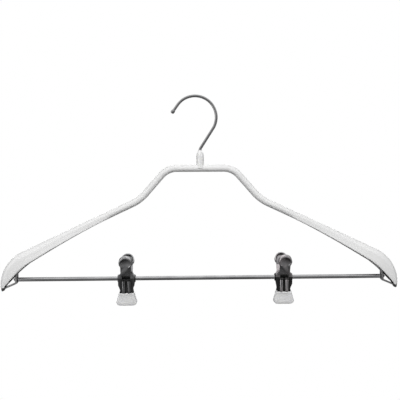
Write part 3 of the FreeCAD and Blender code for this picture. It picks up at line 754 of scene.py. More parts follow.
def hood_form(sizes, turned):
    """Half depth and height at a share of the hood: a bowed straight rim, then the nub."""
    squares = sizes.half_depth ** 2, sizes.tip_half_depth ** 2
    half = sqrt(blend(*squares, turned ** 2))
    here = blend(sizes.arm_angle, sizes.hood_end, turned)
    if here > sizes.nub_start:
        part = (here - sizes.nub_start) / (sizes.hood_end - sizes.nub_start)
        return half, blend(sizes.nub_height, sizes.tip_height, part)
    start, stop = sizes.hood_radius - sizes.height, sizes.hood_radius - sizes.nub_height
    passed, ahead = here - sizes.arm_angle, sizes.nub_start - here
    swing = passed + ahead
    lean = start * sin(passed) + stop * sin(ahead)
    bow = sizes.hood_rise * sin(pi * passed / swing)
    return half, sizes.hood_radius - start * stop * sin(swing) / lean - bow


def rim_flare(sizes, along, turned):
    """How far the flank leans out, from nothing at the tube and at the tip."""
    grown = ease(along - sizes.shoulder_start, *FLARE_GROWS)
    return sizes.flare * grown * (1 - ease(turned, *FLARE_ENDS))


def skin_section(sizes, along, turned):
    """The coating's section: a closed round that squares up and then opens below."""
    half, height = shoulder_form(sizes, along, turned)
    flare = rim_flare(sizes, along, turned)
    squared = ease(along - sizes.shoulder_start, *SQUARES_UP)
    opened = ease(along - sizes.shoulder_start, *OPENS_BELOW)
    outer, left_rim, inner, right_rim = open_section(
        sizes.tube_radius, half - flare, height, sizes.wall, flare)
    foot = sizes.tube_radius - height
    flat = [(depth, foot) for depth in spread(inner[0][0], inner[-1][0], len(inner))]
    first_inner = len(outer) + len(left_rim)
    tube = closed_section(sizes.tube_radius)
    ring = []
    for number, target in enumerate(outer + left_rim + inner + right_rim):
        under = number - first_inner
        if 0 <= under < len(inner):
            ring.append(mixed(mixed(tube[number], flat[under], squared), target, opened))
        else:
            ring.append(mixed(tube[number], target, squared))
    return ring


def mixed(one, other, part):
    return blend(one[0], other[0], part), blend(one[1], other[1], part)


def arm_places(sizes):
    """The slope's fall, the bend's length on the arm, and where the hood starts on it."""
    slope = atan2(sizes.slope_drop, sizes.slope_run)
    bend = sizes.arm_bend * tan((slope - sizes.arm_angle) / 2)
    hood_x = HALF_SPAN - sizes.hood_radius
    hood_x += (sizes.hood_radius - sizes.tube_radius) * sin(sizes.arm_angle)
    hood_start = (hood_x - sizes.top_half - sizes.slope_run) / cos(sizes.arm_angle)
    return slope, bend, hood_start


def walk_to_arm(sizes):
    """From the middle of the top bar round both bends to the start of the arm."""
    slope, bend, _ = arm_places(sizes)
    top_bend = sizes.top_bend * tan(slope / 2)
    walk = Walk(0, TOP_Z, 0)
    walk.run(sizes.top_half - top_bend, TOP_STEPS)
    walk.turn(sizes.top_bend, -slope, TOP_BEND_STEPS)
    walk.run(hypot(sizes.slope_run, sizes.slope_drop) - top_bend - bend, SLOPE_STEPS)
    walk.turn(sizes.arm_bend, slope - sizes.arm_angle, ARM_BEND_STEPS)
    return walk


def shoulder_stations(sizes):
    """Stations along the arm and round the coated hood: (station, along, turned)."""
    _, bend, hood_start = arm_places(sizes)
    swing = (sizes.hood_end - sizes.arm_angle) * sizes.coat_end
    walk = walk_to_arm(sizes)
    first = len(walk.stations) - 1
    walk.run(hood_start - bend, ARM_STEPS)
    walk.turn(sizes.hood_radius - sizes.tube_radius, -swing, HOOD_STEPS)
    along = spread(bend, hood_start, ARM_STEPS + 1) + [hood_start] * HOOD_STEPS
    turned = [0] * ARM_STEPS + spread(0, sizes.coat_end, HOOD_STEPS + 1)
    return list(zip(walk.stations[first:], along, turned))


class HANGER_OT_frame_skin(Operator):
    """Model the white coating of the tube and both shoulders as one skin"""
    bl_idname = "hanger.frame_skin"
    bl_label = "Coated frame"

    def execute(self, context):
        sizes = context.scene.hanger_frame
        tube = closed_section(sizes.tube_radius)
        rings = [set_in(station, tube) for station in walk_to_arm(sizes).stations[:-1]]
        for station, along, turned in shoulder_stations(sizes):
            rings.append(set_in(station, skin_section(sizes, along, turned)))
        piece = sweep("frame_skin", rings, cap_start=False, smoothing=None)
        mirrored(piece)
        smooth(piece, SMOOTH_ANGLE)
        dress(piece, "frame_part", "coating_white",
              "frame_coating", "left_shoulder_coating", "right_shoulder_coating")
        return {"FINISHED"}


LINING_START = 20 * MM
LINING_GAP = 0.06 * MM
LINING_SHEET = 0.35 * MM
LINING_RISE = 4.2 * MM
LINING_TIP_RISE = 0.3 * MM
LINING_FALLS = (0.3, 0.45)
LINING_LEAST = 1.6 * MM
NUB_STEPS = 8
NUB_OVERLAP = 0.03
NUB_INSET = 0.45 * MM
NUB_ROUND = 0.5 * MM
NUB_PLAIN = 0.8
NUB_FLANK, NUB_ARCH = 3, 17


class HANGER_OT_pressings(Operator):
    """Model the bare steel inside of the shoulders, with the closed tips; their dark steel is
    painted shade
    """
    bl_idname = "hanger.pressings"
    bl_label = "Shoulder pressings"

    def execute(self, context):
        sizes = context.scene.hanger_frame
        piece = joined([self.lining(sizes), self.nub(sizes)], "right_pressing")
        dress_pair(piece, "pressing", "inner_steel", "shoulder", finish="pressing steel")
        return {"FINISHED"}

    def lining(self, sizes):
        """The dark inner face of the shoulder, just under the coating; its darkness is painted
        shade.
        """
        depth_in = sizes.wall + LINING_GAP
        rings = []
        for station, along, turned in shoulder_stations(sizes):
            if along < sizes.shoulder_start + LINING_START:
                continue
            half, height = shoulder_form(sizes, along, turned)
            half -= depth_in + rim_flare(sizes, along, turned)
            rise = blend(LINING_RISE, LINING_TIP_RISE, ease(turned, *LINING_FALLS))
            deep = max(height - depth_in - rise, LINING_LEAST)
            section = open_section(sizes.tube_radius - depth_in, half, deep, LINING_SHEET, 0)
            rings.append(set_in(station, sum(section, [])))
        return sweep("right_pressing", rings)

    def nub(self, sizes):
        """The bare end of the pressing under the coated hood; its dark steel is painted shade at
        the tip.
        """
        radius = sizes.hood_radius - sizes.tube_radius
        _, last_z, heading = shoulder_stations(sizes)[-1][0]
        centre_x, centre_z = HALF_SPAN - sizes.hood_radius, last_z - radius * cos(heading)
        rings = []
        for part in spread(0, 1, NUB_STEPS + 1):
            turned = blend(sizes.coat_end - NUB_OVERLAP, 1, part)
            turn = -blend(sizes.arm_angle, sizes.hood_end, turned)
            station = centre_x - radius * sin(turn), centre_z + radius * cos(turn), turn
            half, height = hood_form(sizes, turned)
            inset = NUB_INSET + NUB_ROUND * max(part - NUB_PLAIN, 0) / (1 - NUB_PLAIN)
            half -= inset
            crest, foot = sizes.tube_radius - inset, sizes.tube_radius - height + inset
            bow = arch(half, crest, max(crest - half, foot), foot, 0, NUB_FLANK, NUB_ARCH)
            rings.append(set_in(station, bow))
        return sweep("right_nub", rings)


# Neck, hook and bar

WIRE_POINTS = 24
SLEEVE_POINTS = 48
# How far the sleeve's foot spreads and stands above the tube, from below up
SADDLE = ((0.45 * MM, -0.5 * MM), (0.30 * MM, 0.12 * MM), (0.08 * MM, 0.55 * MM), (0, 1.3 * MM))
SLEEVE_FOOT = 2 * MM
SLEEVE_STRAIGHT = 1.5 * MM
SLEEVE_BULGE = 0.35 * MM
SLEEVE_TAPER_STEPS = 8
SLEEVE_ROUND = 0.3 * MM
SLEEVE_LIP_IN, SLEEVE_LIP_DOWN = 0.12 * MM, 0.06 * MM
SLEEVE_PLAY = 0.1 * MM
BORE_EDGE = 0.15 * MM
BORE_DEPTH = 2 * MM
SADDLE_SIDE = 0.995
DOME_TURNS = [radians(17 * step) for step in range(1, 6)]


class HANGER_OT_neck(Operator):
    """Model the white neck sleeve, seated on the top bar"""
    bl_idname = "hanger.neck"
    bl_label = "Neck sleeve"

    def execute(self, context):
        hook = context.scene.hanger_hook
        tube = context.scene.hanger_frame.tube_radius
        top = -hook.neck_drop
        taper = top - hook.sleeve_taper
        outer = hook.sleeve_radius
        profile = [(outer, TOP_Z + tube + SLEEVE_FOOT), (outer, taper - SLEEVE_STRAIGHT)]
        for part in spread(0, 1, SLEEVE_TAPER_STEPS + 1):
            radius = blend(outer, hook.sleeve_top, part) + sin(pi * part) * SLEEVE_BULGE
            profile.append((radius, blend(taper, top - SLEEVE_ROUND, part)))
        bore = hook.wire_radius + SLEEVE_PLAY
        profile += [
            (hook.sleeve_top - SLEEVE_LIP_IN, top - SLEEVE_LIP_DOWN),
            ((hook.sleeve_top + bore) / 2, top),
            (bore, top - BORE_EDGE),
            (bore, top - BORE_DEPTH),
        ]
        rings = [self.saddle(outer + wider, tube, rise) for wider, rise in SADDLE]
        for radius, height in profile:
            section = round_section(radius, SLEEVE_POINTS)
            rings.append([Vector((x, y, height)) for x, y in section])
        piece = sweep("neck_cap", rings)
        dress(piece, "frame_part", "neck_white", "neck_sleeve")
        return {"FINISHED"}

    def saddle(self, radius, tube, rise):
        """A ring that follows the round top of the tube."""
        points = []
        for x, y in round_section(radius, SLEEVE_POINTS):
            across = min(abs(y), tube * SADDLE_SIDE)
            points.append(Vector((x, y, TOP_Z + sqrt(tube ** 2 - across ** 2) + rise)))
        return points


HOOK_FOOT_UP = 0.2 * MM
HOOK_FOOT_RADIUS = 2.3 * MM
KNOB_SWELLS = (0.3, 0.8, 1.0, 0.9)
FOOT_STEPS, BEND_STEPS, LEAN_STEPS, BOW_STEPS, TIP_STEPS = 12, 14, 6, 72, 12


class HANGER_OT_hook(Operator):
    """Model the bent wire hook with its rounded tip and riveted foot"""
    bl_idname = "hanger.hook"
    bl_label = "Hook"

    def execute(self, context):
        hook = context.scene.hanger_hook
        wire = hook.wire_radius
        low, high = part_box("hook")
        neck_z = -hook.neck_drop
        foot_z = low.z + HOOK_FOOT_UP
        radii_sum = hook.bow_radius + hook.bend
        between = Vector((-hook.offset - hook.bend, high.z - hook.bow_radius - wire - neck_z))
        tilt = atan2(between.y, between.x) - asin(radii_sum / between.length)
        lean = sqrt(between.length_squared - radii_sum ** 2)
        walk = Walk(0, foot_z, pi / 2)
        walk.run(neck_z - foot_z, FOOT_STEPS)
        walk.turn(hook.bend, tilt - pi / 2, BEND_STEPS)
        walk.run(lean, LEAN_STEPS)
        walk.turn(hook.bow_radius, pi + hook.tip_angle - tilt, BOW_STEPS)
        walk.run(hook.tip_length - wire, TIP_STEPS)
        radii = [wire] * len(walk.stations)
        radii[0] = radii[1] = HOOK_FOOT_RADIUS
        for number, swell in enumerate(KNOB_SWELLS, -len(KNOB_SWELLS)):
            radii[number] += hook.knob * swell
        end = radii[-1]
        for turn in DOME_TURNS:
            ahead = wire * sin(turn)
            walk.stations.append((
                walk.x + cos(walk.heading) * ahead, walk.z + sin(walk.heading) * ahead,
                walk.heading))
            radii.append(end * cos(turn))
        rings = [
            set_in(station, round_section(radius, WIRE_POINTS))
            for station, radius in zip(walk.stations, radii)
        ]
        piece = sweep("hook_wire", rings)
        dress(piece, "hook_part", "hook_chrome", "hook")
        return {"FINISHED"}


BAR_STEPS = 8
BAR_GAP = 0.1 * MM
BAR_EDGE, BAR_ROUND = 0.35 * MM, 0.1 * MM
PIN_RADIUS = 1.5 * MM
RIVET_RADIUS = 2.0 * MM
RIVET_EDGE = 0.15 * MM
RIVET_IN = 1.2 * MM
RIVET_OUT = 1.5 * MM


class HANGER_OT_bar(Operator):
    """Model the hanging bar with its stepped and riveted ends"""
    bl_idname = "hanger.bar"
    bl_label = "Hanging bar"

    def execute(self, context):
        low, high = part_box("bar")
        radius = (high.z - low.z) / 2
        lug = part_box("right_bar_bracket")[0].x
        step = lug - BAR_GAP
        rivet, end = high.x - RIVET_IN, high.x + RIVET_OUT
        half = [(lug * k / BAR_STEPS, radius) for k in range(BAR_STEPS)]
        half += [
            (step - BAR_EDGE, radius), (step - BAR_ROUND, radius - BAR_ROUND),
            (step, radius - BAR_EDGE), (step, PIN_RADIUS), (rivet, PIN_RADIUS),
            (rivet, RIVET_RADIUS - BAR_ROUND), (rivet + RIVET_EDGE, RIVET_RADIUS),
        ]
        for turn in DOME_TURNS:
            dome_x = blend(rivet + RIVET_EDGE, end, sin(turn))
            half.append((dome_x, RIVET_RADIUS * cos(turn)))
        line = [(-x, r) for x, r in reversed(half[1:])] + half
        rings = [
            [Vector((x, y, BAR_Z + z)) for y, z in round_section(r, WIRE_POINTS)]
            for x, r in line
        ]
        piece = sweep("hanging_bar", rings)
        dress(piece, "frame_part", "bar_chrome", "bar")
        return {"FINISHED"}


STRAP_SHEET = 2.0 * MM
STRAP_BEND = 2.7 * MM
STRAP_FOOT = 3.5 * MM
STRAP_FALL = radians(23)
STRAP_LEG = 14.2 * MM
STRAP_LUG_STEPS, STRAP_BEND_STEPS, STRAP_LEG_STEPS = 12, 10, 8
STRAP_CORNER = 0.3 * MM
STRAP_CORNER_POINTS = 3
STRAP_TAPER = 0.08


class HANGER_OT_brackets(Operator):
    """Bend the straps that hold the bar, each from a lug to its foot inside the shoulder's tip"""
    bl_idname = "hanger.brackets"
    bl_label = "Bar brackets"

    def execute(self, context):
        low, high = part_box("right_bar_bracket")
        turn = pi / 2 - STRAP_FALL
        bend = STRAP_BEND * tan(turn / 2)
        walk = Walk(low.x + STRAP_SHEET / 2, high.z - STRAP_BEND, -pi / 2)
        walk.run(walk.z - BAR_Z + STRAP_FOOT - bend, STRAP_LUG_STEPS)
        walk.turn(STRAP_BEND, turn, STRAP_BEND_STEPS)
        walk.run(STRAP_LEG - bend, STRAP_LEG_STEPS)
        last = len(walk.stations) - 1
        rings = []
        for number, station in enumerate(walk.stations):
            narrow = STRAP_TAPER * ease(number, last - STRAP_LEG_STEPS, last)
            rings.append(set_in(station, self.section(high.y * (1 - narrow))))
        dress_pair(sweep("right_strap", rings), "strap", "bracket_steel", "bar_bracket")
        return {"FINISHED"}

    def section(self, half):
        """The strip's section, with rounded corners."""
        x, rise = half - STRAP_CORNER, STRAP_SHEET / 2 - STRAP_CORNER
        points = []
        for number, centre in enumerate(((x, rise), (-x, rise), (-x, -rise), (x, -rise))):
            points += quarter(*centre, STRAP_CORNER, 90 * number, STRAP_CORNER_POINTS)
        return points


# Clips

class HANGER_OT_jaws(Operator):
    """Round the edges of the pressed jaws and their pivot tubes"""
    bl_idname = "hanger.jaws"
    bl_label = "Clip jaws"

    def execute(self, context):
        edge = context.scene.hanger_clip.edge
        for side in SIDES:
            for face in FACES:
                node = "%s_%s_jaw" % (side, face)
                piece = from_solid(node, "%s_%s_plate" % (side, face), edge)
                dress(piece, node + "_part", "clip_nickel", node, finish=side + " clip nickel")
            node = side + "_pivot_tube"
            piece = from_solid(node, side + "_pivot_sleeve", edge)
            # Painted shade: the pivot sleeves take the dark inner steel tones
            dress(piece, side + "_slider_part", "pivot_nickel", node)
        return {"FINISHED"}


CORNER_POINTS = 5
FACE_SPANS = 13
BACK_SPANS = 5
CORNER_SHARE = 0.98
# Levels of a boot's lip in mm: its drop, the change of its half width, the inset of its faces
LIP_LEVELS = (
    (0.0, -0.7, 0.45), (0.12, -0.3, 0.2), (0.4, -0.02, 0.03), (0.9, 0, 0),
    (1.3, 0, 0), (1.5, -0.1, 0.08), (1.62, -0.22, 0.2), (1.9, -0.25, 0.24),
)
LIP_EDGE = 1.3 * MM
BOOT_EDGE = 1.4 * MM
BOOT_START = 2.4 * MM
BOOT_STEPS = 9
BOOT_GROOVE = 0.25 * MM
BOOT_CROWN = 0.12 * MM
BOOT_SMOOTH = 60
END_STEPS = 8
END_SPAN = 8.6
END_THIN, END_POWER = 0.75 * MM, 1.5
PANEL_WIDTH, PANEL_FRONT = 0.72, 0.8
PANEL_DOWN, PANEL_UP = 0.6 * MM, 0.8 * MM
PANEL_EDGE = 0.3 * MM
PANEL_DEPTH = 0.22 * MM


def slab_ring(half, inner, outer, corner, crown, height):
    """A rounded slab's outline seen from above, its broad face to the front."""
    corner = min(corner, (outer - inner) / 2 * CORNER_SHARE)
    flat = half - corner
    face = spread(flat, -flat, FACE_SPANS + 1)[1:-1]
    back = spread(-flat, flat, BACK_SPANS + 1)[1:-1]
    points = quarter(flat, outer - corner, corner, 0, CORNER_POINTS)
    points += [(x, outer + crown * (1 - (x / flat) ** 2)) for x in face]
    points += quarter(-flat, outer - corner, corner, 90, CORNER_POINTS)
    points += quarter(-flat, inner + corner, corner, 180, CORNER_POINTS)
    points += [(x, inner) for x in back]
    points += quarter(flat, inner + corner, corner, 270, CORNER_POINTS)
    return [Vector((x, -rise, height)) for x, rise in points]


class HANGER_OT_boots(Operator):
    """Model one soft boot and copy it to all four jaws"""
    bl_idname = "hanger.boots"
    bl_label = "Soft boots"

    def execute(self, context):
        clip = context.scene.hanger_clip
        boot = self.one_boot(clip)
        inwards = clip.jaw_stand - clip.boot_wall - clip.grip_gap / 2
        lean = asin(inwards / (clip.boot_top + clip.boot_length))
        for side in SIDES:
            for face, stand, turn in zip(FACES, (-clip.jaw_stand, clip.jaw_stand), (0, pi)):
                clip_face = "%s_%s" % (side, face)
                piece = own_copy(boot, clip_face + "_cap")
                put(piece, (CLIP_X[side], stand, BAR_Z), (lean, 0, turn))
                dress(piece, clip_face + "_jaw_part", "boot_white", clip_face + "_boot")
        bpy.data.objects.remove(boot)
        return {"FINISHED"}

    def one_boot(self, clip):
        """The front boot, with the bar at the origin."""
        inner, outer = -clip.boot_wall, clip.jaw_sheet + clip.boot_wall
        top, start = clip.boot_top, clip.boot_top + BOOT_START
        broad = top + clip.boot_length - clip.boot_corner
        rings = []

        def add(half, thinner, edge, crown, along):
            rings.append(slab_ring(half, inner + thinner, outer - thinner, edge, crown, -along))

        def half_at(along):
            return blend(clip.boot_top_half, clip.boot_half, (along - top) / (broad - top))

        for drop, wider, thinner in LIP_LEVELS:
            along = top + drop * MM
            add(half_at(along) + wider * MM, thinner * MM, LIP_EDGE, 0, along)
        for along in spread(start, broad, BOOT_STEPS + 1):
            swell = ease(along, start, broad)
            groove = BOOT_GROOVE * (1 - swell)
            add(half_at(along) - groove, groove, BOOT_EDGE, BOOT_CROWN * swell, along)
        for step in range(1, END_STEPS + 1):
            ahead, level = polar(1, 90 * step / END_SPAN)[::-1]
            half = clip.boot_half - clip.boot_corner * (1 - level)
            thinner = END_THIN * (1 - level) ** END_POWER
            add(half, thinner, BOOT_EDGE, BOOT_CROWN * level, broad + clip.boot_corner * ahead)
        boot = sweep("boot", rings, smoothing=None)
        self.press_panel(boot, clip.boot_top_half * PANEL_WIDTH, outer, start, broad)
        smooth(boot, BOOT_SMOOTH)
        return boot

    def press_panel(self, boot, half, outer, start, broad):
        """A shallow sunk panel on the broad face."""
        mesh = edit(boot, "FACE", "DESELECT")
        for face in mesh.faces:
            centre = face.calc_center_median()
            level = -broad - PANEL_DOWN < centre.z < -start - PANEL_UP
            face.select = level and abs(centre.x) < half and centre.y < -outer * PANEL_FRONT
        bmesh.update_edit_mesh(boot.data)
        bpy.ops.mesh.inset(thickness=PANEL_EDGE, depth=0)
        bpy.ops.mesh.inset(thickness=PANEL_EDGE, depth=-PANEL_DEPTH)
        deselect()


COIL_TURNS = 5
COIL_POINTS = 10
COIL_STEPS_A_TURN = 28
LEG_WIRE = 0.97
LEG_OVERLAP = radians(40)
LEG_BEND_STEPS, LEG_STEPS = 8, 6


class HANGER_OT_springs(Operator):
    """Model the torsion springs: a coil on the pivot and a leg on each jaw"""
    bl_idname = "hanger.springs"
    bl_label = "Springs"

    def execute(self, context):
        clip = context.scene.hanger_clip
        start = pi + clip.lever_angle
        stop = 2 * pi * (COIL_TURNS + 1) - clip.lever_angle
        steps = int((stop - start) / (2 * pi) * COIL_STEPS_A_TURN)

        def ring(wire, turn, ahead=0):
            """A ring across the wire; ahead goes straight on along a leg."""
            across = Vector((1, 0, 0))
            out = Vector((0, cos(turn), sin(turn)))
            way = Vector((0, -sin(turn), cos(turn)))
            along = clip.coil_length * ((turn - start) / (stop - start) - 0.5)
            centre = across * along + out * clip.coil_radius + way * ahead
            return [centre + out * a + across * b for a, b in round_section(wire, COIL_POINTS)]

        coil = [ring(clip.coil_wire, turn) for turn in spread(start, stop, steps + 1)]
        thin = clip.coil_wire * LEG_WIRE
        for side in SIDES:
            at = (CLIP_X[side], 0, BAR_Z)
            piece = sweep(side + "_coil", coil)
            put(piece, at)
            # Painted shade: the coils and legs take the dark inner steel tones
            dress(piece, side + "_spring_part", "spring_steel", side + "_spring")
            for face, root, way in zip(FACES, (start, stop), (1, -1)):
                bends = spread(root + way * LEG_OVERLAP, root, LEG_BEND_STEPS + 1)
                runs = spread(0, -way * clip.leg, LEG_STEPS + 1)[1:]
                rings = [ring(thin, turn) for turn in bends]
                rings += [ring(thin, root, ahead) for ahead in runs]
                leg = sweep("%s_%s_spring_leg" % (side, face), rings)
                put(leg, at)
                dress(leg, "%s_%s_jaw_part" % (side, face), "spring_steel")
        return {"FINISHED"}


class HANGER_OT_inner_pieces(Operator):
    """Give the steel pieces inside the neck and the tube their finish"""
    bl_idname = "hanger.inner_pieces"
    bl_label = "Inner pieces"

    def execute(self, context):
        steel = finish_for("inner steel")
        for node in ("hook_washer", "neck_socket", "frame_tube"):
            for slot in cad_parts[node].material_slots:
                slot.material = steel
        return {"FINISHED"}


# Stage

SENSOR = 36
NEAREST = 0.01
FLOOR_Z = -0.75
FLOOR_RADIUS = 0.45
FLOOR_GREY = (0.6, 0.6, 0.6, 1)
FLOOR_ROUGH = 0.9
ROUND_SIDES = 64
DRUM_RADIUS = 1.4
DRUM_TOP = 0.62
DRUM_FLOOR = -0.7
LEVEL_FACE = 0.9
ALL_BUT_MIRRORED = ("camera", "diffuse", "transmission", "shadow")
# Greys by place: the world and the wall from below up, the base from the middle out
WORLD_TONES = ((0.0, 0.12), (0.45, 0.07), (0.55, 0.07), (1.0, 0.06))
WALL_TONES = ((0.0, 0.10), (0.40, 0.13), (0.62, 0.20), (0.85, 0.60), (1.0, 0.90))
BASE_TONES = ((0.12, 0.02), (0.30, 0.17), (0.50, 0.34), (0.75, 0.34), (1.0, 0.26))
# Name, degrees round from the front, degrees above level, width, height and strength
CARDS = (
    ("left_card", -66, 0, 0.80, 1.1, 1.7), ("right_card", 66, 0, 0.80, 1.1, 0.6),
    ("top_card", 180, 56, 0.36, 0.14, 2.4),
)
CARD_REACH = 1.2
# Name, degrees round from the front, degrees above level and power
LAMPS = (
    ("left key", -38, 30, 13.6), ("right key", 38, 30, 12.0),
    ("back fill", 180, 30, 5.0), ("back wash", 180, 4, 9.0),
)
LAMP_REACH = 1.5
LAMP_SIZE = 0.7


def bearing(side_turn, rise):
    """The way to a place round the hanger, and the turn of a face that looks back from it."""
    turn, lift = radians(side_turn), radians(rise)
    way = Vector((
        sin(turn) * cos(lift), -cos(turn) * cos(lift), sin(lift)))
    return way, way.to_track_quat("Z", "Y").to_euler()


def greys(tree, value, low, high, stops):
    """A ramp of greys over a range of the value."""
    ramp = add_node(tree, "ValToRGB", {"Fac": levels(tree, value, low, high)})
    elements = ramp.color_ramp.elements
    elements.remove(elements[1])
    for number, (at, grey) in enumerate(stops):
        stop = elements.new(at) if number else elements[0]
        stop.position = at
        stop.color = (grey, grey, grey, 1)
    return ramp.outputs["Color"]


def white_for_eye(tree, light, white):
    """White for camera, glossy and transmitted rays, the light for the rest."""
    path = add_node(tree, "LightPath").outputs
    seen = path["Is Camera Ray"]
    for ray in ("Is Glossy Ray", "Is Transmission Ray"):
        seen = add_node(tree, "Math", {0: seen, 1: path[ray]}, operation="MAXIMUM").outputs[0]
    sockets = {"Fac": seen, 1: light.outputs[0], 2: white.outputs[0]}
    return add_node(tree, "MixShader", sockets)


def stage_material(name, build):
    """A stage material that shows the shader that build adds to its tree."""
    material = bpy.data.materials.new(name)
    material.use_nodes = True
    tree = material.node_tree
    feed(tree, tree.nodes["Material Output"].inputs["Surface"], build(tree).outputs[0])
    return material


def stage_piece(name, materials, hidden_from):
    """Names the mesh that was just added and gives it to the stage."""
    piece = bpy.context.object
    piece.name = name
    for material in materials:
        piece.data.materials.append(material)
    for rays in hidden_from:
        setattr(piece, "visible_" + rays, False)
    return piece


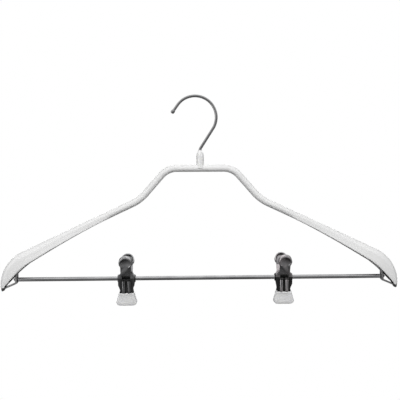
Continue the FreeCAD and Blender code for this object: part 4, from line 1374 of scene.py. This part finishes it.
class HANGER_OT_stage(Operator):
    """Set the pale floor, the soft light and the camera"""
    bl_idname = "hanger.stage"
    bl_label = "Stage"

    def execute(self, context):
        context.scene.view_settings.view_transform = "Standard"
        self.world(context.scene)
        self.floor()
        self.drum()
        for card in CARDS:
            self.card(*card)
        for lamp in LAMPS:
            self.lamp(*lamp)
        self.camera(context.scene)
        return {"FINISHED"}

    def world(self, scene):
        scene.world = bpy.data.worlds.new("studio")
        scene.world.use_nodes = True
        tree = scene.world.node_tree
        tree.nodes.clear()
        way = add_node(tree, "SeparateXYZ", {0: add_node(tree, "TexCoord").outputs["Generated"]})
        grey = greys(tree, way.outputs["Z"], -1, 1, WORLD_TONES)
        light = add_node(tree, "Background", {"Color": grey})
        white = add_node(tree, "Background", {"Color": (1, 1, 1, 1)})
        mix = white_for_eye(tree, light, white)
        add_node(tree, "OutputWorld", {"Surface": mix.outputs[0]})

    def floor(self):
        """A pale floor that throws light up; the camera looks through it from below."""
        deselect()
        bpy.ops.mesh.primitive_circle_add(
            vertices=ROUND_SIDES, radius=FLOOR_RADIUS, fill_type="NGON", location=(0, 0, FLOOR_Z))

        def pale(tree):
            shader = tree.nodes["Principled BSDF"]
            shader.inputs["Base Color"].default_value = FLOOR_GREY
            shader.inputs["Roughness"].default_value = FLOOR_ROUGH
            return white_for_eye(tree, shader, add_node(tree, "Emission"))

        stage_piece("floor", [stage_material("pale floor", pale)], ["camera"])

    def drum(self):
        """Grey cloth all round and below, which only the metal mirrors."""
        deselect()
        half = (DRUM_TOP - DRUM_FLOOR) / 2
        bpy.ops.mesh.primitive_cylinder_add(
            vertices=ROUND_SIDES, radius=DRUM_RADIUS, depth=2 * half, end_fill_type="NGON",
            location=(0, 0, DRUM_FLOOR + half))
        drum = stage_piece("grey_cloth", [
            self.cloth("cloth round", False, -half, half, WALL_TONES),
            self.cloth("cloth below", True, 0, DRUM_RADIUS, BASE_TONES),
        ], ALL_BUT_MIRRORED)
        mesh = edit(drum, "FACE", "DESELECT")
        for face in mesh.faces:
            face.select = face.normal.z > LEVEL_FACE
        bmesh.update_edit_mesh(drum.data)
        bpy.ops.mesh.delete(type="FACE")
        deselect()
        for face in drum.data.polygons:
            face.material_index = int(abs(face.normal.z) > LEVEL_FACE)

    def cloth(self, name, radial, low, high, stops):
        """A cloth whose tone changes with height, or with the way from the middle."""
        def toned(tree):
            coords = add_node(tree, "TexCoord").outputs["Object"]
            at = add_node(tree, "SeparateXYZ", {0: coords}).outputs
            way = at["Z"]
            if radial:
                flat = add_node(tree, "CombineXYZ", {"X": at["X"], "Y": at["Y"]})
                size = add_node(tree, "VectorMath", {0: flat.outputs[0]}, operation="LENGTH")
                way = size.outputs["Value"]
            return add_node(tree, "Emission", {"Color": greys(tree, way, low, high, stops)})

        return stage_material(name, toned)

    def card(self, name, side_turn, rise, width, height, strength):
        """A bright card round the hanger, for the bright lines on the metal."""
        way, facing = bearing(side_turn, rise)
        deselect()
        bpy.ops.mesh.primitive_plane_add(
            size=1, location=Vector((0, 0, BAR_Z)) + way * CARD_REACH, rotation=facing)

        def bright(tree):
            return add_node(tree, "Emission", {"Strength": strength})

        card = stage_piece(name, [stage_material(name, bright)], ALL_BUT_MIRRORED)
        card.scale = (width, height, 1)

    def lamp(self, name, side_turn, rise, power):
        """A round soft lamp, turned round from the front and raised, aimed at the hanger."""
        data = bpy.data.lights.new(name, "AREA")
        data.shape = "DISK"
        data.size = LAMP_SIZE
        data.energy = power
        way, facing = bearing(side_turn, rise)
        lamp = bpy.data.objects.new(name, data)
        lamp.location = Vector((0, 0, BAR_Z / 2)) + way * LAMP_REACH
        lamp.rotation_euler = facing
        lamp.visible_glossy = False
        bpy.context.collection.objects.link(lamp)

    def camera(self, scene):
        stage = scene.hanger_stage
        data = bpy.data.cameras.new("camera")
        data.sensor_width = SENSOR
        data.lens = SENSOR * stage.distance / stage.field
        data.clip_start = NEAREST
        camera = bpy.data.objects.new("camera", data)
        across, away = sin(stage.yaw), cos(stage.yaw)
        camera.location = (
            stage.aim_x * away - stage.distance * across,
            -stage.aim_x * across - stage.distance * away,
            stage.aim_z)
        camera.rotation_euler = (pi / 2, stage.roll, -stage.yaw)
        bpy.context.collection.objects.link(camera)
        scene.camera = camera


# Add-on

OPERATORS = (
    HANGER_OT_frame_skin, HANGER_OT_pressings, HANGER_OT_neck, HANGER_OT_hook, HANGER_OT_bar,
    HANGER_OT_brackets, HANGER_OT_jaws, HANGER_OT_boots, HANGER_OT_springs,
    HANGER_OT_inner_pieces, HANGER_OT_stage,
)
SETTINGS = {
    "hanger_frame": HangerFrameSizes,
    "hanger_hook": HangerHookSizes,
    "hanger_clip": HangerClipSizes,
    "hanger_finishes": HangerFinishes,
    "hanger_stage": HangerStage,
}


class HANGER_PT_panel(Panel):
    """Settings and steps of the hanger."""
    bl_idname = "HANGER_PT_panel"
    bl_label = "Skirt hanger"
    bl_space_type = "VIEW_3D"
    bl_region_type = "UI"
    bl_category = "Hanger"

    def draw(self, context):
        for name, group in SETTINGS.items():
            box = self.layout.box()
            box.label(text=group.__doc__)
            for prop in group.__annotations__:
                box.prop(getattr(context.scene, name), prop)
        for step in OPERATORS:
            self.layout.operator(step.bl_idname)


def register():
    for name, group in SETTINGS.items():
        bpy.utils.register_class(group)
        setattr(bpy.types.Scene, name, PointerProperty(type=group))
    for step in (*OPERATORS, HANGER_PT_panel):
        bpy.utils.register_class(step)


def unregister():
    for step in (HANGER_PT_panel, *reversed(OPERATORS)):
        bpy.utils.unregister_class(step)
    for name, group in SETTINGS.items():
        delattr(bpy.types.Scene, name)
        bpy.utils.unregister_class(group)


def main():
    register()
    bpy.ops.hanger.frame_skin()
    bpy.ops.hanger.pressings()
    bpy.ops.hanger.neck()
    bpy.ops.hanger.hook()
    bpy.ops.hanger.bar()
    bpy.ops.hanger.brackets()
    bpy.ops.hanger.jaws()
    bpy.ops.hanger.boots()
    bpy.ops.hanger.springs()
    bpy.ops.hanger.inner_pieces()
    bpy.ops.hanger.stage()
    deselect()


if __name__ == "__main__":
    main()
